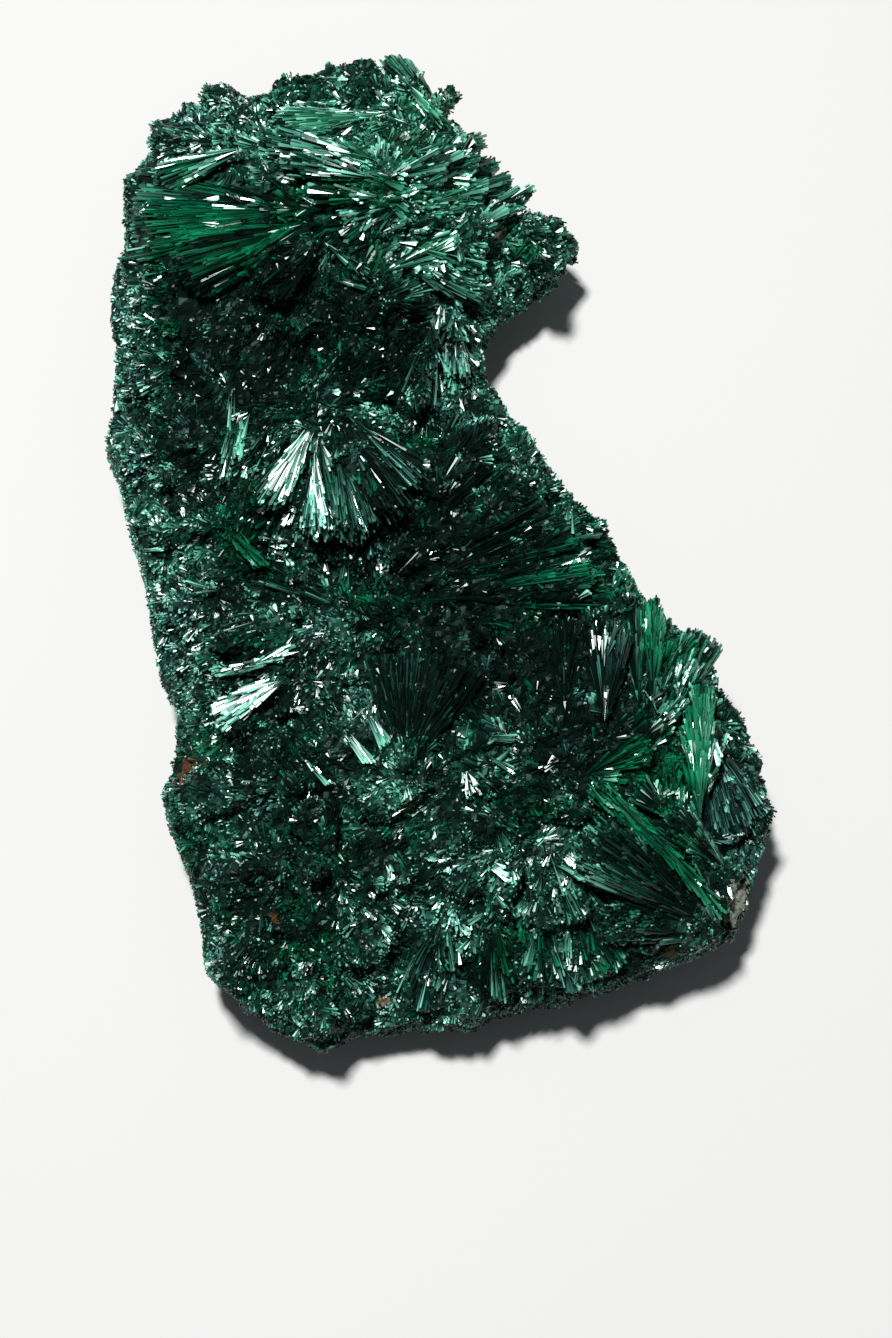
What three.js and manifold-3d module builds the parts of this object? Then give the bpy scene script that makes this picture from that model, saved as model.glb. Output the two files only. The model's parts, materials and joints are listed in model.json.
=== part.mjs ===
// A fibrous malachite cluster: fans of fine crystals grown together into one slab of a specimen, broken
// off flat underneath. Millimetres, +Z up, origin at the middle of the flat underside. One grown piece.
import * as THREE from "three";
import { mergeVertices } from "three/addons/utils/BufferGeometryUtils.js";
import Module from "manifold-3d";

// Driving dimensions.
const READ_Z = 8; // places are read on a level sheet this far above the table
const EYE = new THREE.Vector3(0.4, -51.7, 128.3); // where the readings are seen from
const CENTRING = new THREE.Vector3(0.185, -0.415, 0); // brings the middle of the specimen over the origin
const SLAB = new THREE.Vector3(34, 53, 14); // room that holds the whole specimen
const GROUND_LOW = 5.2; // lowest height of the ground between domes
const GRAIN = 2.4; // size of the facets of the ground between the fans
const ROUGH = 0.4; // how far their corners stand up or down
const LIFT = [0.3, 0.6]; // usual height of a fan's root and crown above the ground
const BASE_INSET = 4.2; // from the edge in to the flat underside
const BASE_RISE = 0.7; // height of the broken underside at the edge, as a share of the edge's height
const RIM_SLOPE = 0.8; // rise of the ground inwards from the edge
const RIM_INSET = 0.2; // from the edge in to a rim fan's tip, as a share of the edge's height
const RIM_REACH = 3; // length of a rim fan
const RIM_RISE = 1.3; // and how much higher it starts
const RIM_DEEP = 3.6; // thickness of the slab's rim
const RIM_LAP = 1.9; // a rim fan's width, as a share of the gap to its neighbours
const RIM_SPLAY = 1; // range of directions of the rim fans, in radians
const RIM_VARY = 0.3; // how much their sizes vary
const GROOVE = 0.82; // depth of the flutes between the crystals of a fan
const UNEVEN = 0.1; // how much flutes and ends vary
const SHIFT = 0.3; // how far the ground's corners stray sideways, as a share of GRAIN
const SLACK = 0.1; // facets and edges finer than this are left out
const SEED = 20260;

// Domes of the ground, one behind each group of fans: x and y readings, half sizes, height of the top.
const DOMES = [
  { at: [-9.5, 18.2], half: [7, 6], top: 9.9 }, // crown, left
  { at: [-3.2, 18.6], half: [6.4, 6.6], top: 11 }, // crown, right
  { at: [-1.8, 14.4], half: [5.6, 4.6], top: 9.8 },
  { at: [-9.8, 13.8], half: [6.6, 4.4], top: 9 },
  { at: [-3.4, 9.8], half: [4.4, 3.6], top: 7.9 },
  { at: [-10.8, 8], half: [5, 4.6], top: 7.6 }, // hollow under the crown
  { at: [-11, 4], half: [4.4, 4], top: 7.7 },
  { at: [-5, 2.6], half: [6, 6], top: 10.2 }, // middle dome
  { at: [-10.6, -1.6], half: [4.6, 5], top: 8 },
  { at: [0.6, 1], half: [5, 6], top: 7.2 },
  { at: [-6.6, -6.2], half: [5.6, 5], top: 8.9 },
  { at: [2.8, -4.6], half: [7, 5], top: 7.4 },
  { at: [-1.4, -10.8], half: [5.6, 5.4], top: 9.3 },
  { at: [-7.6, -12.4], half: [5.6, 6], top: 8.6 },
  { at: [7.4, -9.6], half: [6.6, 6], top: 8.6 },
  { at: [-6.2, -18.4], half: [5.6, 7], top: 8.7 },
  { at: [0.6, -17.6], half: [5.6, 6.6], top: 8.8 },
  { at: [5.2, -17.4], half: [5, 5.4], top: 9.6 },
  { at: [9.4, -16.8], half: [5, 5], top: 7.8 },
  { at: [12.6, -14.6], half: [4, 5], top: 5.8 },
  { at: [4.9, 13], half: [3.2, 3.4], top: 5.4 }, // small lobe off the right side
];

// Edge of the specimen, clockwise from the top: x and y readings and height. A rim fan ends near each.
const EDGE = [
  [-3.2, 24.3, 7], [-0.6, 23, 7], [0.9, 21.8, 7], [1.4, 20.2, 7], [2.6, 18.7, 7.5], [2.7, 16.6, 7],
  [4.6, 15.3, 4.4], [6.1, 15, 4], [6.8, 13.7, 3.8], [5.6, 12.3, 3.6], [4.2, 11, 3.8], [2.9, 10.1, 4.2],
  [1.9, 8.5, 4], [2.3, 6.5, 4.2], [3.3, 4.7, 4.5], [4.7, 3, 4.8], [5.8, 1.2, 5], [7.6, -0.8, 5],
  [8.6, -2.8, 5], [9.8, -4.5, 6], [10.6, -5.5, 5.5], [12.3, -6.2, 6.2], [12.7, -8.8, 5], [13.9, -10.7, 4],
  [14.6, -12.8, 3.8], [14.9, -15.4, 3.6], [14.3, -16.9, 3.6], [13.9, -18.2, 4], [13.4, -20.1, 5],
  [11.5, -21.1, 4], [9.4, -22, 4], [7.8, -22.6, 3.6], [5.9, -23.3, 3.4], [3.4, -23.7, 3.2],
  [1.5, -24.5, 2.8], [-0.8, -24.5, 2.8], [-3.2, -24.7, 3], [-5, -25.6, 3], [-7.3, -24.5, 3.6],
  [-9, -23.1, 4], [-10.1, -22, 4.2], [-10.4, -19.9, 4.4], [-10.9, -17.8, 4.5], [-11.9, -15.6, 4.5],
  [-12.3, -14, 4.5], [-11.9, -12.2, 4.8], [-11.6, -10.2, 5], [-12.6, -8.2, 5], [-13.1, -6, 5],
  [-13.5, -3.4, 5], [-14.4, -0.8, 5], [-14.9, 1.5, 5], [-15.6, 3.2, 5], [-15.2, 5.6, 5], [-15.3, 8.2, 5.2],
  [-15.6, 10, 5.4], [-15.6, 12.2, 5.6], [-15.2, 14.2, 6.2], [-15.4, 17.3, 6.8], [-14.3, 19.3, 6.8],
  [-12.8, 21.2, 6.8], [-10.7, 22.3, 7], [-8, 23.1, 7], [-5.6, 24, 7],
];

// Fans on the upper face: root and crown readings, the crown's width and depth, and where it isn't
// LIFT, how high the root and the crown lie above the ground.
const FANS = [
  // Crown of the specimen: a broad fan opening to the left, and bundles lying across above it.
  { from: [-5.3, 15.9], to: [-15, 15.4], wide: 5, deep: 3.4, lift: [0.7, 0.6] },
  { from: [-5.5, 15.3], to: [-12.8, 12.4], wide: 3.6, deep: 3, lift: [0.4, 0.4] },
  { from: [-5.2, 14.9], to: [-8.8, 11], wide: 3, deep: 3 },
  { from: [-9.2, 19.4], to: [-13.8, 17.3], wide: 1.8, deep: 2, lift: [0.8, 1] },
  { from: [-8.6, 19.4], to: [-14, 19.8], wide: 2.8, deep: 2.6 },
  { from: [-8, 19.8], to: [-11.6, 22], wide: 3, deep: 2.6 },
  { from: [-2.4, 22.4], to: [-7.2, 22.6], wide: 1.8, deep: 2, lift: [0.4, 0.8] },
  { from: [-2.2, 21.2], to: [-8.4, 20.4], wide: 1.8, deep: 2, lift: [0.4, 0.8] },
  { from: [-2.8, 18.6], to: [-8.8, 19.9], wide: 1.4, deep: 1.8 },
  { from: [-2.4, 17.4], to: [-7.8, 18.6], wide: 1.4, deep: 1.8 },
  { from: [-2.4, 16.5], to: [-6.8, 16.7], wide: 1.2, deep: 1.6 },
  { from: [-2.6, 17.6], to: [0.6, 18.6], wide: 1.2, deep: 1.6 },
  { from: [-1.6, 18.9], to: [2.3, 19.4], wide: 1.6, deep: 1.8 },
  { from: [-0.8, 17.2], to: [2.9, 18.3], wide: 1.3, deep: 1.6 },
  { from: [-0.2, 16.3], to: [3.5, 17.2], wide: 1.4, deep: 1.6 },
  { from: [0.2, 14.3], to: [4.8, 16.9], wide: 1.3, deep: 1.5, lift: [0.4, 1.4] },
  { from: [-2.8, 12.4], to: [1.6, 14.8], wide: 2.4, deep: 2 },
  { from: [-2.4, 14.2], to: [2.4, 13.2], wide: 3.4, deep: 2.4 },
  { from: [-2.2, 13.2], to: [2.6, 11.3], wide: 2.6, deep: 2.4 },
  { from: [1, 19.9], to: [-2.8, 24], wide: 2.4, deep: 2.4, lift: [0.6, 0.8] },
  { from: [-0.4, 20.4], to: [0.6, 22.4], wide: 1.8, deep: 1.8 },
  // Hollow below the crown and the neck.
  { from: [-3.6, 10.5], to: [-0.4, 11.2], wide: 1.6, deep: 1.6 },
  { from: [0.2, 10.9], to: [-1.2, 4.4], wide: 1.8, deep: 1.8, lift: [0.6, 0.6] },
  { from: [0.8, 10.9], to: [1.2, 6.2], wide: 1.3, deep: 1.6 },
  { from: [-10.4, 10], to: [-14.9, 10.6], wide: 3.2, deep: 2.4 },
  { from: [-10.6, 6.8], to: [-14.7, 7], wide: 3, deep: 2.4 },
  { from: [-11, 3.2], to: [-15.2, 3.1], wide: 2.6, deep: 2.4 },
  // Middle dome, its bright blades and its grey right margin.
  { from: [-5.9, 4.4], to: [-8, 0], wide: 2.2, deep: 2, lift: [0.6, 0.9] },
  { from: [-5.6, 4], to: [-5.5, -1.6], wide: 1.9, deep: 2, lift: [0.6, 0.9] },
  { from: [-5, 4.3], to: [-3.8, -1.8], wide: 2.4, deep: 2 },
  { from: [-4.6, 4.5], to: [-1.9, -0.6], wide: 2.4, deep: 2 },
  { from: [-4.5, 5.1], to: [-0.6, 1.1], wide: 1.8, deep: 1.8, lift: [0.4, 0.9] },
  { from: [-7, 5.6], to: [-8.9, 1.6], wide: 1.4, deep: 1.8 },
  { from: [-6.4, 5], to: [-3, 7.2], wide: 3.4, deep: 2 },
  // Left side.
  { from: [-10.2, -0.8], to: [-14.1, -1.4], wide: 2.6, deep: 2.4 },
  { from: [-10, -4], to: [-13, -4.8], wide: 2.8, deep: 2.4 },
  { from: [-5.4, -4.8], to: [-9.9, -6.8], wide: 2.4, deep: 2 },
  { from: [-3.4, -5.3], to: [-9, -4.2], wide: 1.8, deep: 2 },
  { from: [-6.7, -8.3], to: [-10.2, -10.5], wide: 1.7, deep: 1.9, lift: [0.6, 1.2], root: 0.7 },
  // Broad dark fan that opens to the right edge.
  { from: [-2.6, -3.1], to: [2.9, 4.4], wide: 4, deep: 3, lift: [0.9, 0.8] },
  { from: [-2.2, -3.5], to: [4.9, 1.4], wide: 3.8, deep: 3, lift: [1.1, 0.9] },
  { from: [-1.8, -3.9], to: [7, -1.3], wide: 3.4, deep: 3, lift: [1.1, 0.9] },
  { from: [-1.2, -4.5], to: [7.9, -3.7], wide: 2.8, deep: 2.8, lift: [0.9, 0.9] },
  // Lower middle: a bowl-shaped fan above a rounded lump.
  { from: [-1.5, -13.1], to: [-0.5, -7.2], wide: 5.4, deep: 3, lift: [0.6, 1.2] },
  { from: [-2, -12.7], to: [-3.2, -9.4], wide: 1.2, deep: 1.4, lift: [0.9, 1.5] },
  { from: [0.2, -13.2], to: [-3.4, -14.9], wide: 2.4, deep: 2.6, lift: [0.6, 0.9] },
  { from: [4.3, -12.4], to: [1.8, -11.6], wide: 2, deep: 1.6 },
  // Right side: upright bundles, a long green sheaf and the dark outer fan.
  { from: [7.6, -10.6], to: [8, -5.6], wide: 2.2, deep: 2, lift: [0.6, 1.3], root: 0.7 },
  { from: [5.8, -10.4], to: [5.9, -5.8], wide: 2, deep: 2 },
  { from: [9.2, -9.8], to: [8.8, -4.3], wide: 1.6, deep: 1.8 },
  { from: [9.8, -9.8], to: [10, -4.7], wide: 1.6, deep: 1.8 },
  { from: [10.1, -11.2], to: [12.1, -6.1], wide: 2.6, deep: 2.2 },
  { from: [11.6, -15.6], to: [12.1, -8.3], wide: 2, deep: 2.2, lift: [0.7, 1.6], root: 0.5 },
  { from: [12.2, -14], to: [12.8, -10.6], wide: 1.1, deep: 1.4, lift: [0.9, 1.8], root: 0.5 },
  { from: [11.9, -10.2], to: [13.7, -16], wide: 3, deep: 2.2 },
  { from: [6.4, -13.1], to: [9.8, -11.6], wide: 1.7, deep: 1.6 },
  { from: [10.6, -15.2], to: [8.8, -13.4], wide: 1.5, deep: 1.6, lift: [0.6, 1.2] },
  { from: [13.2, -17.8], to: [10.2, -14.8], wide: 2.2, deep: 2 },
  // Ridge that runs down to the lower right corner, with its dark face.
  { from: [13.4, -20.2], to: [6.7, -13.3], wide: 1.4, deep: 2.8, lift: [0.8, 1.2] },
  { from: [12.9, -20.4], to: [6.2, -15.7], wide: 3.4, deep: 2.4 },
  { from: [12.6, -20.6], to: [7.2, -19.4], wide: 2.8, deep: 2.4 },
  // Lower dome and the bottom edge.
  { from: [4.2, -16.1], to: [2.3, -19.6], wide: 2, deep: 1.8, lift: [0.6, 0.9] },
  { from: [4.5, -16.1], to: [4.7, -20.4], wide: 2, deep: 1.8, lift: [0.6, 0.9] },
  { from: [4.8, -16.1], to: [6.6, -19.8], wide: 2, deep: 1.8, lift: [0.6, 0.9] },
  { from: [3.7, -16.2], to: [0.5, -18.4], wide: 2, deep: 1.8 },
  { from: [4.4, -18.8], to: [4.5, -22.7], wide: 3.2, deep: 2.6 },
  { from: [6, -18.8], to: [7.2, -22.4], wide: 2.8, deep: 2.4 },
  { from: [2.4, -18.9], to: [2.9, -23.5], wide: 2.4, deep: 2.4 },
  { from: [0.4, -18.9], to: [-0.6, -23.8], wide: 3, deep: 2.6 },
  // Lower left.
  { from: [-6.1, -19.8], to: [-4.8, -25], wide: 2, deep: 2.2, lift: [0.4, 1] },
  { from: [-7.8, -19.2], to: [-9.2, -22.8], wide: 2.8, deep: 2.4 },
  { from: [-7, -17], to: [-10.4, -18.2], wide: 3, deep: 2.4 },
  { from: [-7.2, -13.6], to: [-11.6, -14.2], wide: 3, deep: 2.4 },
  { from: [-4.6, -17.6], to: [-2.4, -21.6], wide: 3.2, deep: 2.4 },
  { from: [-4.4, -17.2], to: [-5.8, -14.2], wide: 3, deep: 2 },
];

// Single blades that stand out of the fans, thin and nearly parallel-sided.
const BLADES = [
  { from: [-9.3, 5.2], to: [-10, 0.9], wide: 0.8, deep: 1.6 },
  { from: [-8.1, 3.2], to: [-9.5, 1.6], wide: 0.6, deep: 1.4 },
  { from: [-6.5, 4.1], to: [-7.7, 2.7], wide: 0.6, deep: 2.8 },
  { from: [-5.6, 14.2], to: [-3, 11.7], wide: 0.7, deep: 1.6 },
  { from: [-6.6, 14.6], to: [-8.7, 12.2], wide: 0.7, deep: 2 },
  { from: [-9.9, -0.9], to: [-7.9, -3], wide: 0.6, deep: 1.4 },
  { from: [-6.8, -1.6], to: [-8.2, -1.5], wide: 0.5, deep: 1.4 },
  { from: [-6.2, -7], to: [-9.8, -8.3], wide: 0.5, deep: 1.4 },
  { from: [5.1, -3.5], to: [7.1, -2.5], wide: 0.7, deep: 2.6 },
  { from: [5.9, -1.4], to: [8, -0.9], wide: 0.8, deep: 2 },
  { from: [6.1, -1.2], to: [6.2, 0.1], wide: 0.5, deep: 1.6 },
  { from: [6.4, -4.9], to: [7, -3.8], wide: 0.5, deep: 2 },
  { from: [10.4, -10.4], to: [11.8, -8], wide: 0.7, deep: 2.4 },
  { from: [10, -9.8], to: [10.6, -7.9], wide: 0.5, deep: 2 },
  { from: [12.2, -16.1], to: [13.4, -16], wide: 0.5, deep: 1.6 },
  { from: [1.1, -12.8], to: [1.7, -14.2], wide: 0.8, deep: 1.4 },
  { from: [-6.3, -21.9], to: [-5.3, -23.2], wide: 0.6, deep: 2 },
];

// Patches of short crystals that stand up from the ground: x and y readings, half size and number.
const DRUSES = [
  { at: [-8.5, 8], half: [5, 2.6], count: 9 },
  { at: [-11.5, 0.8], half: [2.4, 3], count: 4 },
  { at: [-11, -6.5], half: [2, 3], count: 4 },
  { at: [0.5, 2.4], half: [2, 3], count: 4 },
  { at: [-4.5, -6.8], half: [4, 1.8], count: 5 },
  { at: [3.2, -7.2], half: [3.4, 2], count: 5 },
  { at: [-6.8, -12], half: [3, 2.4], count: 6 },
  { at: [3, -14.6], half: [3, 1.6], count: 4 },
  { at: [-7.6, -16.8], half: [2.6, 2.6], count: 6 },
  { at: [-2.2, -17.6], half: [2.4, 1.6], count: 4 },
];

// Profiles from root to crown, as [share of the half width, share of the length].
const FAN_PROFILE = [[0, 0], [0.6, 0.45], [1, 0.9], [0, 1]];
const RIM_PROFILE = [[0, 0], [1, 0.96], [0, 1]];
const BLADE_PROFILE = [[0, 0], [1, 0.2], [1, 0.85], [0, 1]];
const CRYSTAL_PROFILE = [[0, 0], [1, 0.7], [0, 1]];
const CRYSTAL = { wide: 1.2, long: 2.6, above: 0.8, steep: 0.3, vary: 0.3 }; // a short crystal
const SIDES = { fewest: 4, most: 8, perWidth: 2.7 };
const RIM_SIDES = 4;

const wasm = await Module();
wasm.setup();

const UP = new THREE.Vector3(0, 0, 1);
const RIM = EDGE.map(place); // the edge in its place

// A repeatable source of numbers from 0 to 1.
function randomFrom(seed) {
  let state = seed;
  return () => {
    state = (state + 0x6d2b79f5) | 0;
    let t = Math.imul(state ^ (state >>> 15), 1 | state);
    t = (t + Math.imul(t ^ (t >>> 7), 61 | t)) ^ t;
    return ((t ^ (t >>> 14)) >>> 0) / 4294967296;
  };
}

// A factor near 1, up to a given share more or less.
function about(random, share) {
  return 1 + share * (2 * random() - 1);
}

// Carries a reading along the line of sight from the reading sheet to its own height.
function place([x, y, z]) {
  const share = (EYE.z - z) / (EYE.z - READ_Z);
  return new THREE.Vector3(x, y, READ_Z).sub(EYE).multiplyScalar(share).add(EYE).add(CENTRING);
}

// Makes a geometry into a solid that can be joined and cut.
function solidFrom(geometry) {
  geometry.deleteAttribute("normal");
  geometry.deleteAttribute("uv");
  const merged = mergeVertices(geometry, 1e-4);
  const corners = merged.index.array;
  const kept = [];
  for (let i = 0; i < corners.length; i += 3) {
    const [a, b, c] = corners.subarray(i, i + 3);
    if (a !== b && b !== c && c !== a) kept.push(a, b, c);
  }
  const vertProperties = merged.attributes.position.array;
  return new wasm.Manifold(new wasm.Mesh({ numProp: 3, vertProperties, triVerts: new Uint32Array(kept) }));
}

// A turned profile with merged corners, to be reshaped into a fan.
function turned(profile, sides) {
  const lathe = new THREE.LatheGeometry(profile.map(([r, h]) => new THREE.Vector2(r, h)), sides);
  lathe.deleteAttribute("normal");
  lathe.deleteAttribute("uv");
  return mergeVertices(lathe, 1e-4);
}

// Carries a reading down the line of sight to a height above the ground.
function settle([x, y], lift) {
  const spot = place([x, y, READ_Z]);
  for (let pass = 0; pass < 3; pass += 1) spot.copy(place([x, y, groundHeight(spot.x, spot.y) + lift]));
  return spot;
}

// A fluted fan of crystals from its root to its crown. Its broad side lies as level as it can.
function fan(start, end, { wide, deep, root = 0.2 }, profile, sides, random) {
  const axis = end.clone().sub(start);
  const length = axis.length();
  axis.normalize();
  const across = axis.clone().cross(UP).normalize();
  const up = across.clone().cross(axis);
  const flutes = Array.from({ length: sides }, (_, i) => ({
    out: (i % 2 ? GROOVE : 1) * about(random, UNEVEN / 2),
    along: (i % 2 ? -UNEVEN : 0) + UNEVEN * (random() - 0.5),
  }));
  const geometry = turned(profile, sides);
  const position = geometry.attributes.position;
  const point = new THREE.Vector3();
  for (let i = 0; i < position.count; i += 1) {
    point.fromBufferAttribute(position, i);
    const share = point.y;
    const radius = Math.hypot(point.x, point.z);
    const turn = Math.round((Math.atan2(point.x, point.z) / (2 * Math.PI)) * sides + sides) % sides;
    const flute = flutes[turn];
    const spread = share > 0.5 ? 1 : root + (1 - root) * share * 2;
    const along = radius > 0 ? share * (1 + flute.along * share) : share;
    point
      .copy(start)
      .addScaledVector(axis, along * length)
      .addScaledVector(across, (position.getX(i) * flute.out * spread * wide) / 2)
      .addScaledVector(up, (position.getZ(i) * flute.out * spread * deep) / 2);
    position.setXYZ(i, point.x, point.y, point.z);
  }
  return solidFrom(geometry);
}

// How far a place is from the edge of the specimen, and the height of the edge there.
function edgeNear(x, y) {
  let near = { gap: Infinity, height: 0 };
  for (const [index, one] of RIM.entries()) {
    const next = RIM[(index + 1) % RIM.length];
    const run = new THREE.Vector2(next.x - one.x, next.y - one.y);
    const share = THREE.MathUtils.clamp(((x - one.x) * run.x + (y - one.y) * run.y) / run.lengthSq(), 0, 1);
    const gap = Math.hypot(x - one.x - run.x * share, y - one.y - run.y * share);
    if (gap < near.gap) near = { gap, height: one.z + (next.z - one.z) * share };
  }
  return near;
}

// Height of the ground at a place: the highest dome there, but never far above the edge close to it.
function groundHeight(x, y) {
  const { gap, height } = edgeNear(x, y);
  const domes = DOMES.map(({ at, half, top }) => {
    const centre = place([...at, top]);
    const away = ((x - centre.x) / half[0]) ** 2 + ((y - centre.y) / half[1]) ** 2;
    return GROUND_LOW + (top - GROUND_LOW) * Math.max(0, 1 - away);
  });
  return Math.min(Math.max(...domes), height + RIM_SLOPE * gap);
}

// The ground that the fans grow from: a rough slab with a flat underside, inside the specimen's edge.
function ground(random) {
  const columns = Math.ceil(SLAB.x / GRAIN);
  const rows = Math.ceil(SLAB.y / GRAIN);
  const box = new THREE.BoxGeometry(SLAB.x, SLAB.y, 1, columns, rows, 1);
  box.deleteAttribute("normal");
  box.deleteAttribute("uv");
  const slab = mergeVertices(box);
  const position = slab.attributes.position;
  for (let i = 0; i < position.count; i += 1) {
    const x = position.getX(i) + (2 * random() - 1) * GRAIN * SHIFT;
    const y = position.getY(i) + (2 * random() - 1) * GRAIN * SHIFT;
    const edge = edgeNear(x, y);
    const underside = Math.max(0, 1 - edge.gap / BASE_INSET) * BASE_RISE * edge.height;
    const height = groundHeight(x, y) + (2 * random() - 1) * ROUGH;
    position.setXYZ(i, x, y, position.getZ(i) > 0 ? height : underside);
  }
  const outline = new THREE.Shape(RIM.map(({ x, y }) => new THREE.Vector2(x, y)));
  const around = new THREE.ExtrudeGeometry(outline, { depth: 2 * SLAB.z, bevelEnabled: false });
  around.translate(0, 0, -SLAB.z);
  return solidFrom(slab).intersect(solidFrom(around));
}

// A fan that lies on the ground, from the list of fans or of blades.
function fanOnGround(one, profile, random) {
  const [low, high] = one.lift ?? LIFT;
  const pairs = Math.round((one.wide * SIDES.perWidth) / 2);
  const sides = THREE.MathUtils.clamp(2 * pairs, SIDES.fewest, SIDES.most);
  return fan(settle(one.from, low), settle(one.to, high), one, profile, sides, random);
}

// The short crystals of one patch, each leaning its own way.
function druse({ at, half, count }, random) {
  return Array.from({ length: count }, () => {
    const turn = random() * 2 * Math.PI;
    const out = Math.sqrt(random());
    const spot = [at[0] + half[0] * out * Math.cos(turn), at[1] + half[1] * out * Math.sin(turn)];
    const tip = settle(spot, CRYSTAL.above * about(random, CRYSTAL.vary));
    const lean = new THREE.Vector3(random() - 0.5, random() - 0.5, -CRYSTAL.steep).setLength(CRYSTAL.long);
    const wide = CRYSTAL.wide * about(random, CRYSTAL.vary);
    return fan(lean.add(tip), tip, { wide, deep: wide, root: 1 }, CRYSTAL_PROFILE, SIDES.fewest, random);
  });
}

// The rim fan that ends at one point of the edge and starts inside the slab.
function rimFan(index, random) {
  const end = RIM[index];
  const before = RIM[(index + RIM.length - 1) % RIM.length];
  const after = RIM[(index + 1) % RIM.length];
  const gap = Math.hypot(after.x - before.x, after.y - before.y) / 2;
  const turn = (random() - 0.5) * RIM_SPLAY;
  const inward = new THREE.Vector3(after.y - before.y, before.x - after.x, 0).normalize();
  const tip = end.clone().addScaledVector(inward, RIM_INSET * end.z * about(random, RIM_VARY));
  tip.z += (random() - 0.5) * RIM_RISE;
  const start = inward.applyAxisAngle(UP, turn).multiplyScalar(RIM_REACH * about(random, RIM_VARY)).add(tip);
  start.z += RIM_RISE * about(random, RIM_VARY);
  const size = { wide: gap * RIM_LAP * about(random, RIM_VARY), deep: Math.min(RIM_DEEP, 1.3 * end.z) };
  return fan(start, tip, size, RIM_PROFILE, RIM_SIDES, random);
}

// The grown mass as one geometry: everything joined, cut off level underneath, pockets inside filled.
function cluster() {
  const random = randomFrom(SEED);
  const pieces = [
    ground(random),
    ...RIM.map((_, index) => rimFan(index, random)),
    ...FANS.map((one) => fanOnGround(one, FAN_PROFILE, random)),
    ...BLADES.map((one) => fanOnGround(one, BLADE_PROFILE, random)),
    ...DRUSES.flatMap((one) => druse(one, random)),
  ];
  const grown = pieces.reduce((whole, piece) => whole.add(piece));
  const below = new THREE.BoxGeometry(2 * SLAB.x, 2 * SLAB.y, SLAB.z).translate(0, 0, -SLAB.z / 2);
  const shells = grown.subtract(solidFrom(below)).simplify(SLACK).decompose();
  return geometryFrom(shells.reduce((a, b) => (a.volume() > b.volume() ? a : b)));
}

// The corners and faces of a solid.
function geometryFrom(solid) {
  const mesh = solid.getMesh();
  const corners = new Float32Array(mesh.numVert * 3);
  for (let i = 0; i < mesh.numVert; i += 1) {
    corners.set(mesh.vertProperties.subarray(i * mesh.numProp, i * mesh.numProp + 3), i * 3);
  }
  const geometry = new THREE.BufferGeometry();
  geometry.setAttribute("position", new THREE.BufferAttribute(corners, 3));
  geometry.setIndex(new THREE.BufferAttribute(new Uint32Array(mesh.triVerts), 1));
  return geometry;
}

const malachite = new THREE.MeshStandardMaterial({ color: 0x0d5a3f, roughness: 0.35, metalness: 0 });
malachite.flatShading = true;
const specimen = new THREE.Mesh(cluster(), malachite);
specimen.name = "malachite_cluster";

const group = new THREE.Group();
group.add(specimen);
export default group;
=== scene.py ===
"""The malachite cluster as it is seen: fine crystals on its CAD solid, with a floor, lights and a camera."""

import json
import math
from dataclasses import dataclass

import bmesh
import bpy
import numpy as np
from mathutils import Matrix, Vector, noise
from mathutils.bvhtree import BVHTree

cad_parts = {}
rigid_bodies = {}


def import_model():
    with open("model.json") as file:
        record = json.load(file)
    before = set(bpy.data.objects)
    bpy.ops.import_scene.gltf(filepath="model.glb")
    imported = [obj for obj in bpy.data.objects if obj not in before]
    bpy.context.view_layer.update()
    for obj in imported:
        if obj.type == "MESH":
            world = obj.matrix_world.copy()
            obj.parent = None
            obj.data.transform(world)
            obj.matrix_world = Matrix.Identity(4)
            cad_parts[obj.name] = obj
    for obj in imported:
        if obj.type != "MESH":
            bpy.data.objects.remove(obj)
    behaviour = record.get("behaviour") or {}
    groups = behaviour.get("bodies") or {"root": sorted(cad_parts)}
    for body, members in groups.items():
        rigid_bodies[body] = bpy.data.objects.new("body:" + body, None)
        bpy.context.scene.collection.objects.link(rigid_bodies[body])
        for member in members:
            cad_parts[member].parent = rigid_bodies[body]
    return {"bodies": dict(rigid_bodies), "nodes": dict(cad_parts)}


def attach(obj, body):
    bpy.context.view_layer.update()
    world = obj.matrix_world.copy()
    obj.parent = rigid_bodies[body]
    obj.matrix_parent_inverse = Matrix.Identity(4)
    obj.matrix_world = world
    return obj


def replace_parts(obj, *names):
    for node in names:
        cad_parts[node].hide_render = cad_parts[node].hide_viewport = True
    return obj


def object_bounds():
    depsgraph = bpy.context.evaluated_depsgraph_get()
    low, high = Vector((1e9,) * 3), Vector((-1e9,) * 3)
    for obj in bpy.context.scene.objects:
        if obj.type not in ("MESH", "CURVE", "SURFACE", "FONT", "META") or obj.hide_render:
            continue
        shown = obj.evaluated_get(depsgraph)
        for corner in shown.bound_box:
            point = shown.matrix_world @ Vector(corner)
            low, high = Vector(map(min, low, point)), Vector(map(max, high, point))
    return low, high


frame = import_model()
CAD_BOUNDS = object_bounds()

MM = 0.001
SEED = 411
NODE = "malachite_cluster"
BODY = sorted(frame["bodies"])[0]

# Readings are made on a level sheet above the table, from the eye, as in the part's source.
READ_Z = 8.0
EYE = np.array([0.4, -51.7, 128.3])
CENTRING = np.array([0.185, -0.415, 0.0])
GROUND_LOW = 5.2
RIM_SLOPE = 0.8
UP = np.array([0.0, 0.0, 1.0])

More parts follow.
